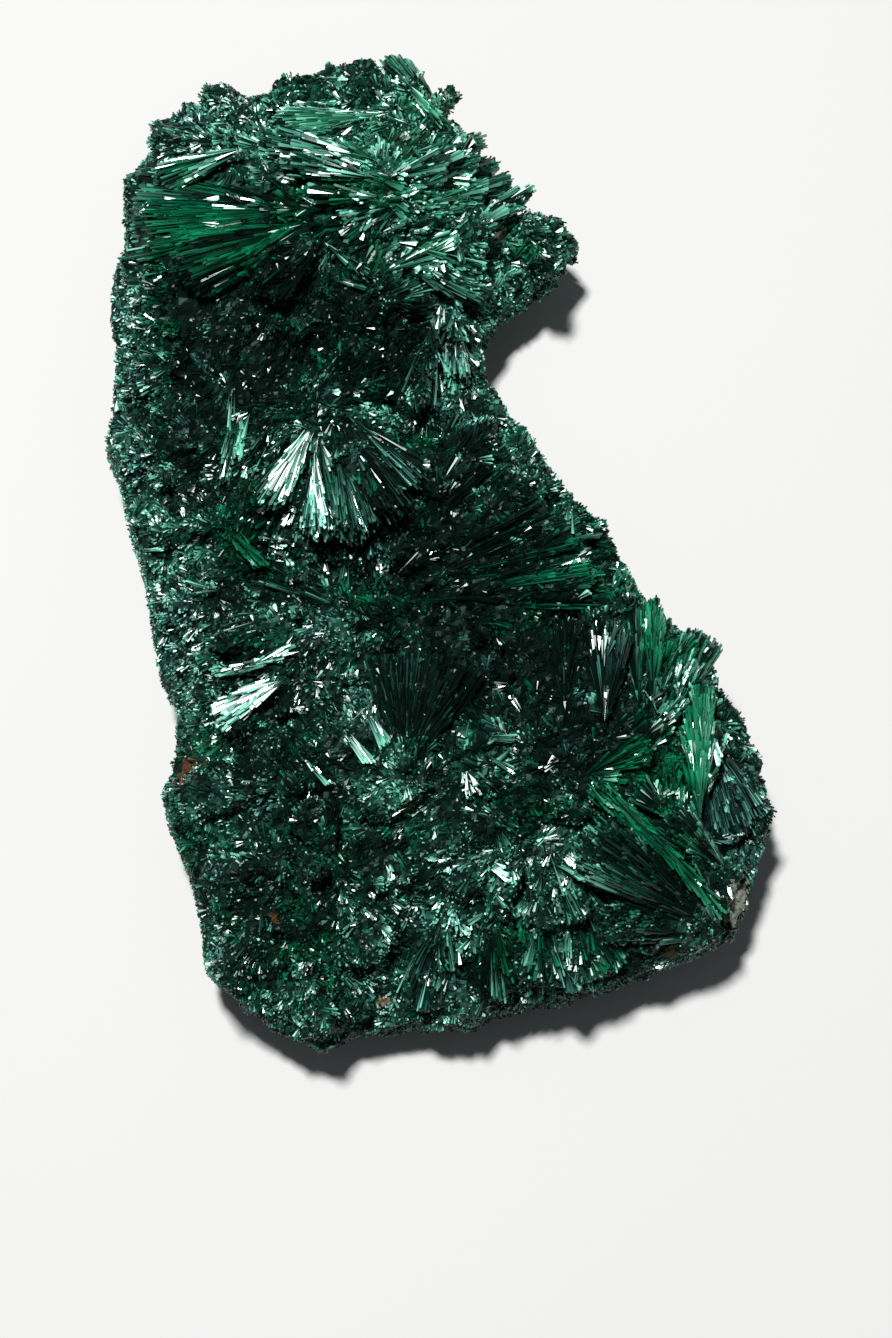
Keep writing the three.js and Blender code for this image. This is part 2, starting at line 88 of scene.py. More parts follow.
# How the crust and the crystals are made, in millimetres.
VOXEL = 0.23  # facets of the granular crust
GRAIN = 2.6  # grains of the crust to a millimetre
RELIEF = 0.16  # height of its grains
LUMPS = 0.22  # height of its lumps
LEVEL = 0.05  # how far the crust is let in between them
MARGIN = 1.2  # how wide the paler edge of the ground is
FINE = 0.1  # width of a fan's crystals
POINT = 0.5  # length of a crystal's pointed end, against its width
WIDTHS = (0.7, 1.4)  # range of widths
THICKNESS = (0.5, 1)  # and of thickness, against the width
SHORTER = (0.1, 0.65)  # share that a crystal that catches the light lacks of its length
STREAK_FINE = 0.12  # width of a streak's crystals
STREAK_LONG = 1.8  # and their greatest length
STREAK_DENSE = 22  # how many of them there are to a square millimetre
ON_TOP = (0.1, 0.24)  # how high their feet and tips lie over the solid
LAYERS = 1.9  # crystals that lie over each other in a bundle
BUNDLES = 2.6  # bundles on a millimetre of a fan's girdle
BUNDLE_WIDE = (0.3, 0.8)  # how wide a bundle is
BUNDLE_END = 1.03  # where the outermost ones end, in lengths of the fan
BUNDLE_LONG = (0.3, 0.7)  # how long they are, in the same measure
BUNDLE_OUT = (0.93, 1.03)  # how far out they lie, against the fan's girth
SKIRT = 0.15  # how far bundles reach past a fan's sides, in radians
DULL = 0.01  # share of crystals that catch the light in a bundle or tuft that doesn't gleam
ENDS = 0.3  # how thickly a fan's crown is set with ends
COVER = 1.15  # how far out a fan takes the ground's relief away, against its girth
LONGEST = 2.6  # the longest crystal of a bundle
PER_PIECE = 30000  # crystals in one piece
PROUD = 0.32  # how far a crystal may stand out of the solid
AT_RIM = 0.35  # share of that at the edge of the specimen
SUNK = 0.12  # and how deep its tip may lie in it
HELD = 0.4  # how far its foot may lie over the crust
CAUGHT = 0.15  # how exactly a crystal that catches the light faces it, in radians
STEEP = 0.6  # a crystal steeper to the light's mirror direction than this never catches it
TIPPED = 0.25  # nor one whose ends would move further than this
LEVEL_RISE = 0.04  # how far a crystal that catches the light lies above the others
SILKY = (0.2, 0.45)  # roughness of crystals that catch the light
GLASSY = (0.15, 0.3)  # and of the others
GRAINY = (0.3, 0.5)  # and of the crust
FOOT_PAINTED_SHADE = 0.4  # painted shade at the root: how bright the foot of a crystal is, against its tip
DEPTH_PAINTED_SHADE = (0.5, 1.8)  # painted shade and light: brightness of crystals that lie deepest and highest
SPARK = 2.8  # how unevenly bright neighbouring crystals are, 1 for even
TURNED = (0.5, 1.2)  # how far crystals that don't catch the light are turned away from it, in radians
BESIDE = 0.5  # how far crystals may reach past the sides of the solid's box
ABOVE = 0.25  # and past its top
OVER_TABLE = 0.05  # the least height of their ends
SURFACE = 0.5  # height over the ground at which places on the surface are read
STAIN_HIGH = 0.3  # and that of stains

# Clouds of noise in the shape and look of the crust: how fine they are, and where each begins.
LUMPY, ROUGHENED, PATCHY, GREENISH, FLECKED = (0.8, 12), (2.1, 3), (0.3, 5), (0.42, 31), (1.7, 57)

# Crystals set all over the crust: how many spots, crystals to a spot, width of a tuft and of its crystals,
# their least and greatest length, how far they lean with the fans, stand up and stray, the share that
# catches the light, the least of it where the ground is dark, and the share that stands on the fans.
TUFTS = dict(amount=7500, number=12, wide=0.45, fine=0.09, length=(0.6, 1.5), lean=1.0, rise=0.35, loose=0.5,
             gleam=0.3, least=0.2, over=0.3)
SINGLES = dict(amount=52000, number=1, wide=0, fine=0.1, length=(0.14, 0.42), lean=0.3, rise=0.9, loose=0.6,
               gleam=1.1, least=0.5, over=0.05)

# Colours of malachite, each from dark to light, and of its stains in the order of their kinds.
DARK = [(0.0, (0.0025, 0.0085, 0.0065)), (0.5, (0.006, 0.025, 0.018)), (1.0, (0.016, 0.09, 0.063))]
GREEN = (0.0008, 0.02, 0.009, 1), (0.01, 0.52, 0.24, 1)
# Pale teal silk, which also serves as painted sheen on gleaming bundles, bright blades and streaks.
PALE_AND_SHEEN = (0.05, 0.2, 0.15, 1), (0.3, 0.92, 0.71, 1)
ROCK = [(0.25, (0.13, 0.05, 0.025)), (0.5, (0.24, 0.19, 0.13)), (0.75, (0.25, 0.27, 0.22)),
        (1.0, (0.03, 0.024, 0.006))]
PATCHES = 900  # patches of colour to a metre
STAINED = [(0.15, 0.0), (0.25, 0.85)]  # share of a stain's own colour
POLISH = [(0.3, 0.7), (0.7, 1.0)]  # roughness in patches, against that of the crystal

# The studio. Places in metres, save that of the main light, which is in millimetres.
MAIN_LIGHT = np.array([-56.0, 52.0, 400.0])
MAIN = dict(size=0.045, power=1.9, colour=(1, 0.99, 0.97))
FILL_LIGHT = (0.3, -0.4, 0.5)
FILL = dict(size=0.4, power=0.06, colour=(0.95, 0.98, 1))
SKY = (0.93, 0.96, 1, 1)
SKY_POWER = 0.06
TABLE = {"Base Color": (0.77, 0.775, 0.78, 1), "Roughness": 0.7, "Specular IOR Level": 0.2}
TABLE_HALF = 3  # half of its width
SENSOR = 36  # width of the camera's sensor, in millimetres
LENS = 75.3  # its focal length
TILT = 20  # how far it looks off the vertical, in degrees

# Domes of the ground: x and y readings, half sizes, height of the top.
DOMES = [
    (-9.5, 18.2, 7, 6, 9.9), (-3.2, 18.6, 6.4, 6.6, 11), (-1.8, 14.4, 5.6, 4.6, 9.8),
    (-9.8, 13.8, 6.6, 4.4, 9), (-3.4, 9.8, 4.4, 3.6, 7.9), (-10.8, 8, 5, 4.6, 7.6),
    (-11, 4, 4.4, 4, 7.7), (-5, 2.6, 6, 6, 10.2), (-10.6, -1.6, 4.6, 5, 8),
    (0.6, 1, 5, 6, 7.2), (-6.6, -6.2, 5.6, 5, 8.9), (2.8, -4.6, 7, 5, 7.4),
    (-1.4, -10.8, 5.6, 5.4, 9.3), (-7.6, -12.4, 5.6, 6, 8.6), (7.4, -9.6, 6.6, 6, 8.6),
    (-6.2, -18.4, 5.6, 7, 8.7), (0.6, -17.6, 5.6, 6.6, 8.8), (5.2, -17.4, 5, 5.4, 9.6),
    (9.4, -16.8, 5, 5, 7.8), (12.6, -14.6, 4, 5, 5.8), (4.9, 13, 3.2, 3.4, 5.4),
]

# Edge of the specimen, clockwise from the top: x and y readings and height.
EDGE = [
    (-3.2, 24.3, 7), (-0.6, 23, 7), (0.9, 21.8, 7), (1.4, 20.2, 7), (2.6, 18.7, 7.5), (2.7, 16.6, 7),
    (4.6, 15.3, 4.4), (6.1, 15, 4), (6.8, 13.7, 3.8), (5.6, 12.3, 3.6), (4.2, 11, 3.8), (2.9, 10.1, 4.2),
    (1.9, 8.5, 4), (2.3, 6.5, 4.2), (3.3, 4.7, 4.5), (4.7, 3, 4.8), (5.8, 1.2, 5), (7.6, -0.8, 5),
    (8.6, -2.8, 5), (9.8, -4.5, 6), (10.6, -5.5, 5.5), (12.3, -6.2, 6.2), (12.7, -8.8, 5), (13.9, -10.7, 4),
    (14.6, -12.8, 3.8), (14.9, -15.4, 3.6), (14.3, -16.9, 3.6), (13.9, -18.2, 4), (13.4, -20.1, 5),
    (11.5, -21.1, 4), (9.4, -22, 4), (7.8, -22.6, 3.6), (5.9, -23.3, 3.4), (3.4, -23.7, 3.2),
    (1.5, -24.5, 2.8), (-0.8, -24.5, 2.8), (-3.2, -24.7, 3), (-5, -25.6, 3), (-7.3, -24.5, 3.6),
    (-9, -23.1, 4), (-10.1, -22, 4.2), (-10.4, -19.9, 4.4), (-10.9, -17.8, 4.5), (-11.9, -15.6, 4.5),
    (-12.3, -14, 4.5), (-11.9, -12.2, 4.8), (-11.6, -10.2, 5), (-12.6, -8.2, 5), (-13.1, -6, 5),
    (-13.5, -3.4, 5), (-14.4, -0.8, 5), (-14.9, 1.5, 5), (-15.6, 3.2, 5), (-15.2, 5.6, 5), (-15.3, 8.2, 5.2),
    (-15.6, 10, 5.4), (-15.6, 12.2, 5.6), (-15.2, 14.2, 6.2), (-15.4, 17.3, 6.8), (-14.3, 19.3, 6.8),
    (-12.8, 21.2, 6.8), (-10.7, 22.3, 7), (-8, 23.1, 7), (-5.6, 24, 7),
]


@dataclass
class Fan:
    """A fan of crystals as in the part's source, and its look."""
    start: tuple  # readings of its root
    end: tuple  # and of its crown
    wide: float  # size of its crown
    deep: float
    lift: tuple = (0.3, 0.6)  # how high root and crown lie over the ground
    root: float = 0.2  # girth of the root, against the crown's
    glow: float = 0.1  # how green it glows
    gleam: float = 0.2  # how many of its crystals turn a face to the light
    pale: float = 0.2  # how pale they are; high in the bright blades, where the pale colour is partly painted sheen
    felt: float = 0.0  # how much short felt takes the place of long crystals
    even: float = 0.0  # how even they are
    coarse: float = 1.0  # how wide they are


SPRAY = dict(felt=0.3, coarse=1.5)  # look of the crown's bundles

FANS = [
    # Crown of the specimen: a broad fan opening to the left, and bundles lying across above it.
    Fan((-5.3, 15.9), (-15, 15.4), 5, 3.4, (0.7, 0.6), glow=0.4, gleam=0.04, pale=0.04, even=0.5),
    Fan((-5.5, 15.3), (-12.8, 12.4), 3.6, 3, (0.4, 0.4), glow=0.35, gleam=0.02, pale=0.04, even=0.5),
    Fan((-5.2, 14.9), (-8.8, 11), 3, 3, glow=0.2, gleam=0, pale=0.1, felt=0.85),
    Fan((-9.2, 19.4), (-13.8, 17.3), 1.8, 2, (0.8, 1), glow=1, even=0.5),
    Fan((-8.6, 19.4), (-14, 19.8), 2.8, 2.6, pale=0.5, felt=0.8),
    Fan((-8, 19.8), (-11.6, 22), 3, 2.6, felt=1),
    Fan((-2.4, 22.4), (-7.2, 22.6), 1.8, 2, (0.4, 0.8), glow=0.4, gleam=0.4, pale=0.5, **SPRAY),
    Fan((-2.2, 21.2), (-8.4, 20.4), 1.8, 2, (0.4, 0.8), glow=1, gleam=0.4, pale=0.4, even=0.4),
    Fan((-2.8, 18.6), (-8.8, 19.9), 1.4, 1.8, glow=0.6, gleam=0.45, pale=0.6, **SPRAY),
    Fan((-2.4, 17.4), (-7.8, 18.6), 1.4, 1.8, glow=0.5, gleam=0.5, pale=0.6, **SPRAY),
    Fan((-2.4, 16.5), (-6.8, 16.7), 1.2, 1.6, glow=0.5, gleam=0.45, pale=0.6, **SPRAY),
    Fan((-2.6, 17.6), (0.6, 18.6), 1.2, 1.6, glow=0.4, gleam=0.35, pale=0.5, **SPRAY),
    Fan((-1.6, 18.9), (2.3, 19.4), 1.6, 1.8, glow=0.5, gleam=0.3, pale=0.5, **SPRAY),
    Fan((-0.8, 17.2), (2.9, 18.3), 1.3, 1.6, glow=0.4, gleam=0.5, pale=0.6, **SPRAY),
    Fan((-0.2, 16.3), (3.5, 17.2), 1.4, 1.6, glow=0.4, gleam=0.45, pale=0.6, **SPRAY),
    Fan((0.2, 14.3), (4.8, 16.9), 1.3, 1.5, (0.4, 1.4), glow=0.2, gleam=0.7, pale=0.65, **SPRAY),
    Fan((-2.8, 12.4), (1.6, 14.8), 2.4, 2, glow=0.7, gleam=0.3, pale=0.4),
    Fan((-2.4, 14.2), (2.4, 13.2), 3.4, 2.4, glow=0.5, gleam=0.25, pale=0.4, felt=0.8),
    Fan((-2.2, 13.2), (2.6, 11.3), 2.6, 2.4, glow=0.15, pale=0.3, felt=0.6),
    Fan((1, 19.9), (-2.8, 24), 2.4, 2.4, (0.6, 0.8), glow=0.35, pale=0.15),
    Fan((-0.4, 20.4), (0.6, 22.4), 1.8, 1.8, felt=1),
    # Hollow below the crown and the neck.
    Fan((-3.6, 10.5), (-0.4, 11.2), 1.6, 1.6, pale=0.3, felt=0.5),
    Fan((0.2, 10.9), (-1.2, 4.4), 1.8, 1.8, (0.6, 0.6), gleam=0.15, pale=0.35, felt=0.9),
    Fan((0.8, 10.9), (1.2, 6.2), 1.3, 1.6, pale=0.4, felt=0.85),
    Fan((-10.4, 10), (-14.9, 10.6), 3.2, 2.4, felt=1),
    Fan((-10.6, 6.8), (-14.7, 7), 3, 2.4, felt=1),
    Fan((-11, 3.2), (-15.2, 3.1), 2.6, 2.4, felt=1),
    # Middle dome, its bright blades and its grey right margin.
    Fan((-5.9, 4.4), (-8, 0), 2.2, 2, (0.6, 0.9), glow=0.15, gleam=0.3, pale=0.4, felt=0.5),
    Fan((-5.8, 4.4), (-8, 0.1), 1.6, 2, (0.7, 1), 0.4, gleam=1, pale=1, even=0.8, coarse=1.5),
    Fan((-5.8, 3.2), (-5.3, -1.7), 0.9, 2, (0.7, 1), 0.4, gleam=0.9, pale=0.9, even=0.6, coarse=1.3),
    Fan((-5.6, 4), (-5.5, -1.6), 1.9, 2, (0.6, 0.9), glow=0.2, gleam=0.15, pale=0.25),
    Fan((-5, 4.3), (-3.8, -1.8), 2.4, 2, glow=0.15, gleam=0.08, pale=0.12),
    Fan((-4.6, 4.5), (-1.9, -0.6), 2.4, 2, glow=0.08, gleam=0.02, pale=0.12),
    Fan((-4.5, 5.1), (-0.6, 1.1), 1.8, 1.8, (0.4, 0.9), glow=0.05, gleam=0.02, pale=0.3, felt=0.3),
    Fan((-7, 5.6), (-8.9, 1.6), 1.4, 1.8, glow=0.15, gleam=0.15, pale=0.15, felt=0.5),
    Fan((-6.4, 5), (-3, 7.2), 3.4, 2, glow=0.05, gleam=0.15, pale=0.35, felt=0.6),
    # Left side.
    Fan((-10.2, -0.8), (-14.1, -1.4), 2.6, 2.4, felt=1),
    Fan((-10, -4), (-13, -4.8), 2.8, 2.4, glow=0.2, gleam=0.3, pale=0.4, felt=0.8),
    Fan((-5.4, -4.8), (-9.9, -6.8), 2.4, 2, glow=0.15, gleam=0.15, felt=0.8),
    Fan((-3.4, -5.3), (-9, -4.2), 1.8, 2, gleam=0.15, pale=0.3, felt=0.7),
    Fan((-6.7, -8.3), (-10.2, -10.5), 1.7, 1.9, (0.6, 1.2), 0.7,
        glow=0.05, gleam=0.9, pale=0.8, even=0.7, coarse=1.3),
    # Broad dark fan that opens to the right edge.
    Fan((-2.6, -3.1), (2.9, 4.4), 4, 3, (0.9, 0.8), gleam=0.01, pale=0.03, felt=0.9),
    Fan((-2.2, -3.5), (4.9, 1.4), 3.8, 3, (1.1, 0.9), glow=0.2, gleam=0, pale=0.05, felt=0.9),
    Fan((-1.8, -3.9), (7, -1.3), 3.4, 3, (1.1, 0.9), glow=0.35, gleam=0.02, pale=0.1, felt=0.88),
    Fan((-1.2, -4.5), (7.9, -3.7), 2.8, 2.8, (0.9, 0.9), glow=0.4, gleam=0, pale=0.1, felt=0.85),
    # Lower middle: a bowl-shaped fan above a rounded lump.
    Fan((-1.5, -13.1), (-0.5, -7.2), 5.4, 3, (0.6, 1.2), glow=0.05, gleam=0, pale=0.1, felt=0.4),
    Fan((-2, -12.7), (-3.2, -9.4), 1.2, 1.4, (0.9, 1.5), glow=0.05, gleam=0.6, pale=0.7),
    Fan((0.2, -13.2), (-3.4, -14.9), 2.4, 2.6, (0.6, 0.9), felt=1),
    Fan((4.3, -12.4), (1.8, -11.6), 2, 1.6, gleam=0.4, pale=0.6),
    # Right side: upright bundles, a long green sheaf and the dark outer fan.
    Fan((7.6, -10.6), (8, -5.6), 2.2, 2, (0.6, 1.3), 0.7, gleam=0.12, pale=0.35),
    Fan((5.8, -10.4), (5.9, -5.8), 2, 2, gleam=0.03, pale=0.1, felt=0.5),
    Fan((9.2, -9.8), (8.8, -4.3), 1.6, 1.8, glow=0.7, gleam=0.15, pale=0.15),
    Fan((9.8, -9.8), (10, -4.7), 1.6, 1.8, glow=0.7),
    Fan((10.1, -11.2), (12.1, -6.1), 2.6, 2.2, glow=0.4, gleam=0.45, pale=0.35),
    Fan((11.7, -15.6), (12.1, -8.6), 1.2, 2.2, (0.7, 1.6), 0.5,
        glow=1, gleam=0.12, pale=0.07, even=0.35, coarse=0.8),
    Fan((12.2, -14), (12.8, -10.6), 1.1, 1.4, (0.9, 1.8), 0.5, glow=0.2, gleam=0.9, pale=0.9, coarse=1.4),
    Fan((11.9, -10.2), (13.7, -16), 3, 2.2, glow=0.03, gleam=0),
    Fan((6.4, -13.1), (9.8, -11.6), 1.7, 1.6, glow=0.45, pale=0.15),
    Fan((10.6, -15.2), (8.8, -13.4), 1.5, 1.6, (0.6, 1.2), glow=0.7, pale=0.15),
    Fan((13.2, -17.8), (10.2, -14.8), 2.2, 2, glow=0.3, gleam=0.25, pale=0.3),
    # Ridge that runs down to the lower right corner, with its dark face.
    Fan((13.4, -20.2), (6.7, -13.3), 0.8, 2.8, (0.8, 1.2),
        glow=1, gleam=0.1, pale=0.08, even=0.3, coarse=0.8),
    Fan((12.9, -20.4), (6.2, -15.7), 3.4, 2.4, glow=0.06, gleam=0.03, pale=0.05, felt=0.3),
    Fan((12.6, -20.6), (7.2, -19.4), 2.8, 2.4, glow=0.15, gleam=0.15, pale=0.15, felt=0.6),
    # Lower dome and the bottom edge.
    Fan((4.2, -16.1), (2.3, -19.6), 2, 1.8, (0.6, 0.9), felt=1),
    Fan((4.5, -16.1), (4.7, -20.4), 2, 1.8, (0.6, 0.9), felt=1),
    Fan((4.8, -16.1), (6.6, -19.8), 2, 1.8, (0.6, 0.9), glow=0.6, pale=0.35, felt=0.95),
    Fan((3.7, -16.2), (0.5, -18.4), 2, 1.8, felt=1),
    Fan((4.4, -18.8), (4.5, -22.7), 3.2, 2.6, glow=0.15, gleam=0.3, felt=0.85),
    Fan((6, -18.8), (7.2, -22.4), 2.8, 2.4, glow=0.3, gleam=0.3, felt=0.85),
    Fan((2.4, -18.9), (2.9, -23.5), 2.4, 2.4, glow=0.2, gleam=0.15, felt=0.7),
    Fan((0.4, -18.9), (-0.6, -23.8), 3, 2.6, glow=0.15, pale=0.45, felt=0.6),
    # Lower left.
    Fan((-6.1, -19.8), (-4.8, -25), 2, 2.2, (0.4, 1), felt=1),
    Fan((-7.8, -19.2), (-9.2, -22.8), 2.8, 2.4, felt=1),
    Fan((-7, -17), (-10.4, -18.2), 3, 2.4, felt=1),
    Fan((-7.2, -13.6), (-11.6, -14.2), 3, 2.4, felt=1),
    Fan((-4.6, -17.6), (-2.4, -21.6), 3.2, 2.4, felt=1),
    Fan((-4.4, -17.2), (-5.8, -14.2), 3, 2, felt=1),
]

# Single blades that stand out of the fans.
BLADES = [
    Fan((-9.3, 5.2), (-10, 0.9), 0.8, 1.6, gleam=0.95, pale=0.8),
    Fan((-8.1, 3.2), (-9.5, 1.6), 0.6, 1.4, gleam=0.8, pale=0.7),
    Fan((-6.5, 4.1), (-7.7, 2.7), 0.6, 2.8, gleam=0.9, pale=0.9),
    Fan((-5.6, 14.2), (-3, 11.7), 0.7, 1.6, glow=0.4, gleam=0.4, pale=0.4),
    Fan((-6.6, 14.6), (-8.7, 12.2), 0.7, 2, glow=0.6, gleam=0.3, pale=0.3),
    Fan((-9.9, -0.9), (-7.9, -3), 0.6, 1.4, glow=1),
    Fan((-6.8, -1.6), (-8.2, -1.5), 0.5, 1.4, gleam=0.9, pale=0.9),
    Fan((-6.2, -7), (-9.8, -8.3), 0.5, 1.4, gleam=0.7, pale=0.6),
    Fan((5.1, -3.5), (7.1, -2.5), 0.7, 2.6, gleam=0.9, pale=0.8),
    Fan((5.9, -1.4), (8, -0.9), 0.8, 2, glow=0.2, gleam=0.8, pale=0.7),
    Fan((6.1, -1.2), (6.2, 0.1), 0.5, 1.6, gleam=0.9, pale=0.9),
    Fan((6.4, -4.9), (7, -3.8), 0.5, 2, glow=0.2, gleam=0.8, pale=0.7),
    Fan((10.4, -10.4), (11.8, -8), 0.7, 2.4, glow=0.2, gleam=0.8, pale=0.6),
    Fan((10, -9.8), (10.6, -7.9), 0.5, 2, glow=0.2, gleam=0.8, pale=0.6),
    Fan((12.2, -16.1), (13.4, -16), 0.5, 1.6, gleam=0.7, pale=0.8),
    Fan((1.1, -12.8), (1.7, -14.2), 0.8, 1.4, gleam=0.8, pale=0.8),
    Fan((-6.3, -21.9), (-5.3, -23.2), 0.6, 2, gleam=0.6, pale=0.6),
]

# Bright streaks that lie on the solid where the eye sees them: crystals turned to catch the light, whose
# pale colour is also a painted highlight. Listed are start, end and width, and for those that aren't white
# also glow, gleam, paleness and how wide their crystals are.
STREAKS = [
    # Crown.
    ((-6.1, 21.7), (-4.9, 21.7), 0.35), ((-3.5, 21.2), (-2.5, 21.5), 0.35),
    ((-5.5, 19.1), (-3.1, 18.1), 0.4, 0.1, 0.8, 0.9), ((-2.4, 18), (-1.5, 17.7), 0.3),
    ((-4.5, 16.5), (-3.5, 16.3), 0.3), ((-6.7, 16.5), (-5.9, 16.3), 0.35), ((1.8, 15), (3.3, 16.1), 0.5),
    ((1, 17.6), (1.7, 17.9), 0.3), ((1.9, 18.2), (2.7, 18.4), 0.3),
    ((-11.5, 16.3), (-10.5, 16.3), 0.25, 0.3, 0.8, 0.8), ((-11.6, 15), (-10.2, 15), 0.25, 0.3, 0.6, 0.8),
    ((-8.2, 20.4), (-5, 20.4), 0.7, 1, 0.1, 0.2), ((-9.5, 19.1), (-13, 17.4), 0.9, 1, 0.1, 0.2),
    ((-2, 23.3), (0.5, 20.3), 0.4, 0.8, 0.1, 0.3), ((-13.5, 14.2), (-9.6, 14.9), 0.7, 0.9, 0.15, 0.1),
    ((0.1, 13.6), (1, 14), 0.6, 0.6, 0.5, 0.7), ((-6, 15.6), (-9.4, 13.4), 0.4, 0.9, 0.05, 0.05),
    ((-4.9, 12.1), (-2.9, 11.5), 0.3, 0.3, 0.3, 0.5), ((-6, 23.2), (-4.4, 23.1), 0.3),
    ((-5.4, 19.2), (-4.6, 19), 0.25), ((-10.3, 18.5), (-9.6, 18.6), 0.25),
    ((-1.2, 12.6), (-0.8, 12.6), 0.25, 0.1, 3, 1, 1.3), ((-0.1, 18.3), (1.2, 19.1), 0.3),
    # Middle dome and the trench.
    ((-9.1, 5.1), (-9.4, 2.3), 0.6, 0.1, 0.8, 0.9, 1.3), ((-9.3, 1.7), (-8.5, 2.3), 0.3),
    ((-5.9, 4.1), (-7.9, 0.2), 1), ((-5.9, 2.7), (-5.3, -1.8), 0.5, 0.1, 0.7, 0.8),
    ((-7.9, -1.7), (-6.9, -1.7), 0.3), ((-7, -2.4), (-6.7, -2.9), 0.3),
    ((-9.8, -1.2), (-8.2, -3), 0.3, 1, 0.1, 0.1), ((-13.6, -2.1), (-12.6, -1.8), 0.3, 0.1, 0.8, 0.9),
    ((-9.8, 6.2), (-9.9, 1), 0.3, 0.1, 0.25, 0.6), ((-13.5, 8.1), (-12.9, 7.5), 0.4, 0.3, 0.7, 0.8),
    ((-5.1, 6), (-4.6, 5.9), 0.3), ((-3.7, 5.3), (-3.2, 5.1), 0.3),
    ((-2.5, 5.8), (-2.1, 5.8), 0.25, 0.1, 3, 1, 1.3),
    # Right flank.
    ((6.2, 0.1), (6.1, -1.2), 0.3), ((6, -1.6), (7.8, -1.1), 0.3, 0.1, 0.8, 0.9),
    ((5.2, -3.2), (6.9, -2.5), 0.4, 0.1, 0.9, 0.9), ((6.5, -4.5), (7, -3.9), 0.3),
    # Left and lower middle.
    ((-7.1, -8.3), (-10, -10.3), 1, 0.05, 0.8, 0.8), ((-9.5, -8.1), (-6.4, -6.8), 0.25, 0.1, 0.6, 0.8),
    ((-3.1, -10.1), (-2.2, -11.8), 0.5, 0.05, 0.8, 0.8), ((2.3, -11.3), (3.9, -11.3), 0.35, 0.1, 0.9, 0.9),
    ((2.3, -12.1), (3.7, -12.8), 0.4, 0.4, 0.7, 0.7),
    ((-2.2, -17.1), (-1.8, -17.9), 0.35, 0.1, 0.9, 1, 1.3),
    ((-4.1, -11.1), (-2.8, -12.6), 0.5, 0.05, 0.7, 0.9),
    ((-6.4, -11.7), (-4.9, -13.5), 0.25, 0.3, 0.6, 0.9), ((-2.5, -6.9), (-2, -7.8), 0.6, 0.1, 0.7, 0.9),
    ((1.3, -12.9), (1.6, -13.7), 0.35, 0.1, 3, 1, 1.4),
    # Right side: the green sheaf with its white edge, the ridge.
    ((11.8, -14.8), (11.7, -9.2), 0.8, 1, 0.1, 0.05), ((12.5, -10.7), (12.6, -12.8), 0.4, 0.1, 0.8, 0.9),
    ((12.1, -16.1), (13.1, -16.1), 0.25, 0.1, 0.7, 0.8), ((6.9, -13.4), (10, -16.2), 0.5, 1, 0.1, 0.08),
    ((9.8, -16), (13.3, -20), 0.5, 1, 0.1, 0.05), ((9.6, -6.8), (9.7, -4.6), 0.5, 0.9, 0.2, 0.2),
    ((7.6, -7.5), (7.9, -5.7), 0.5, 0.1, 0.15, 0.6),
    # Lower dome.
    ((2.4, -17.2), (3.3, -17.8), 0.5, 0.1, 4, 1, 1.5), ((3.5, -17.3), (4, -18.1), 0.4, 0.1, 4, 1, 1.5),
    ((5, -17), (6.7, -18), 0.4, 0.7, 0.2, 0.4), ((6.6, -19.2), (6.9, -20.4), 0.4, 0.8, 0.2, 0.4),
]

# Patches of stained or rocky ground: x and y readings, radius and kind.
RUST, TAN, GREY, OLIVE = 1, 2, 3, 4
STAINS = [
    (-11.4, 0.3, 0.38, RUST), (-10.2, -8.5, 0.25, RUST), (-7.2, -19.5, 0.3, RUST), (-11.4, -13, 0.9, RUST),
    (3.2, 14.5, 0.4, TAN), (-1.2, -14.3, 0.5, TAN), (-2.1, -16.5, 0.2, TAN), (-2.2, -23.4, 0.3, TAN),
    (13.5, -18.8, 1.1, GREY), (10.1, -20.8, 0.8, OLIVE), (2.6, -22.9, 0.25, OLIVE), (3.1, -23.3, 0.3, OLIVE),
]
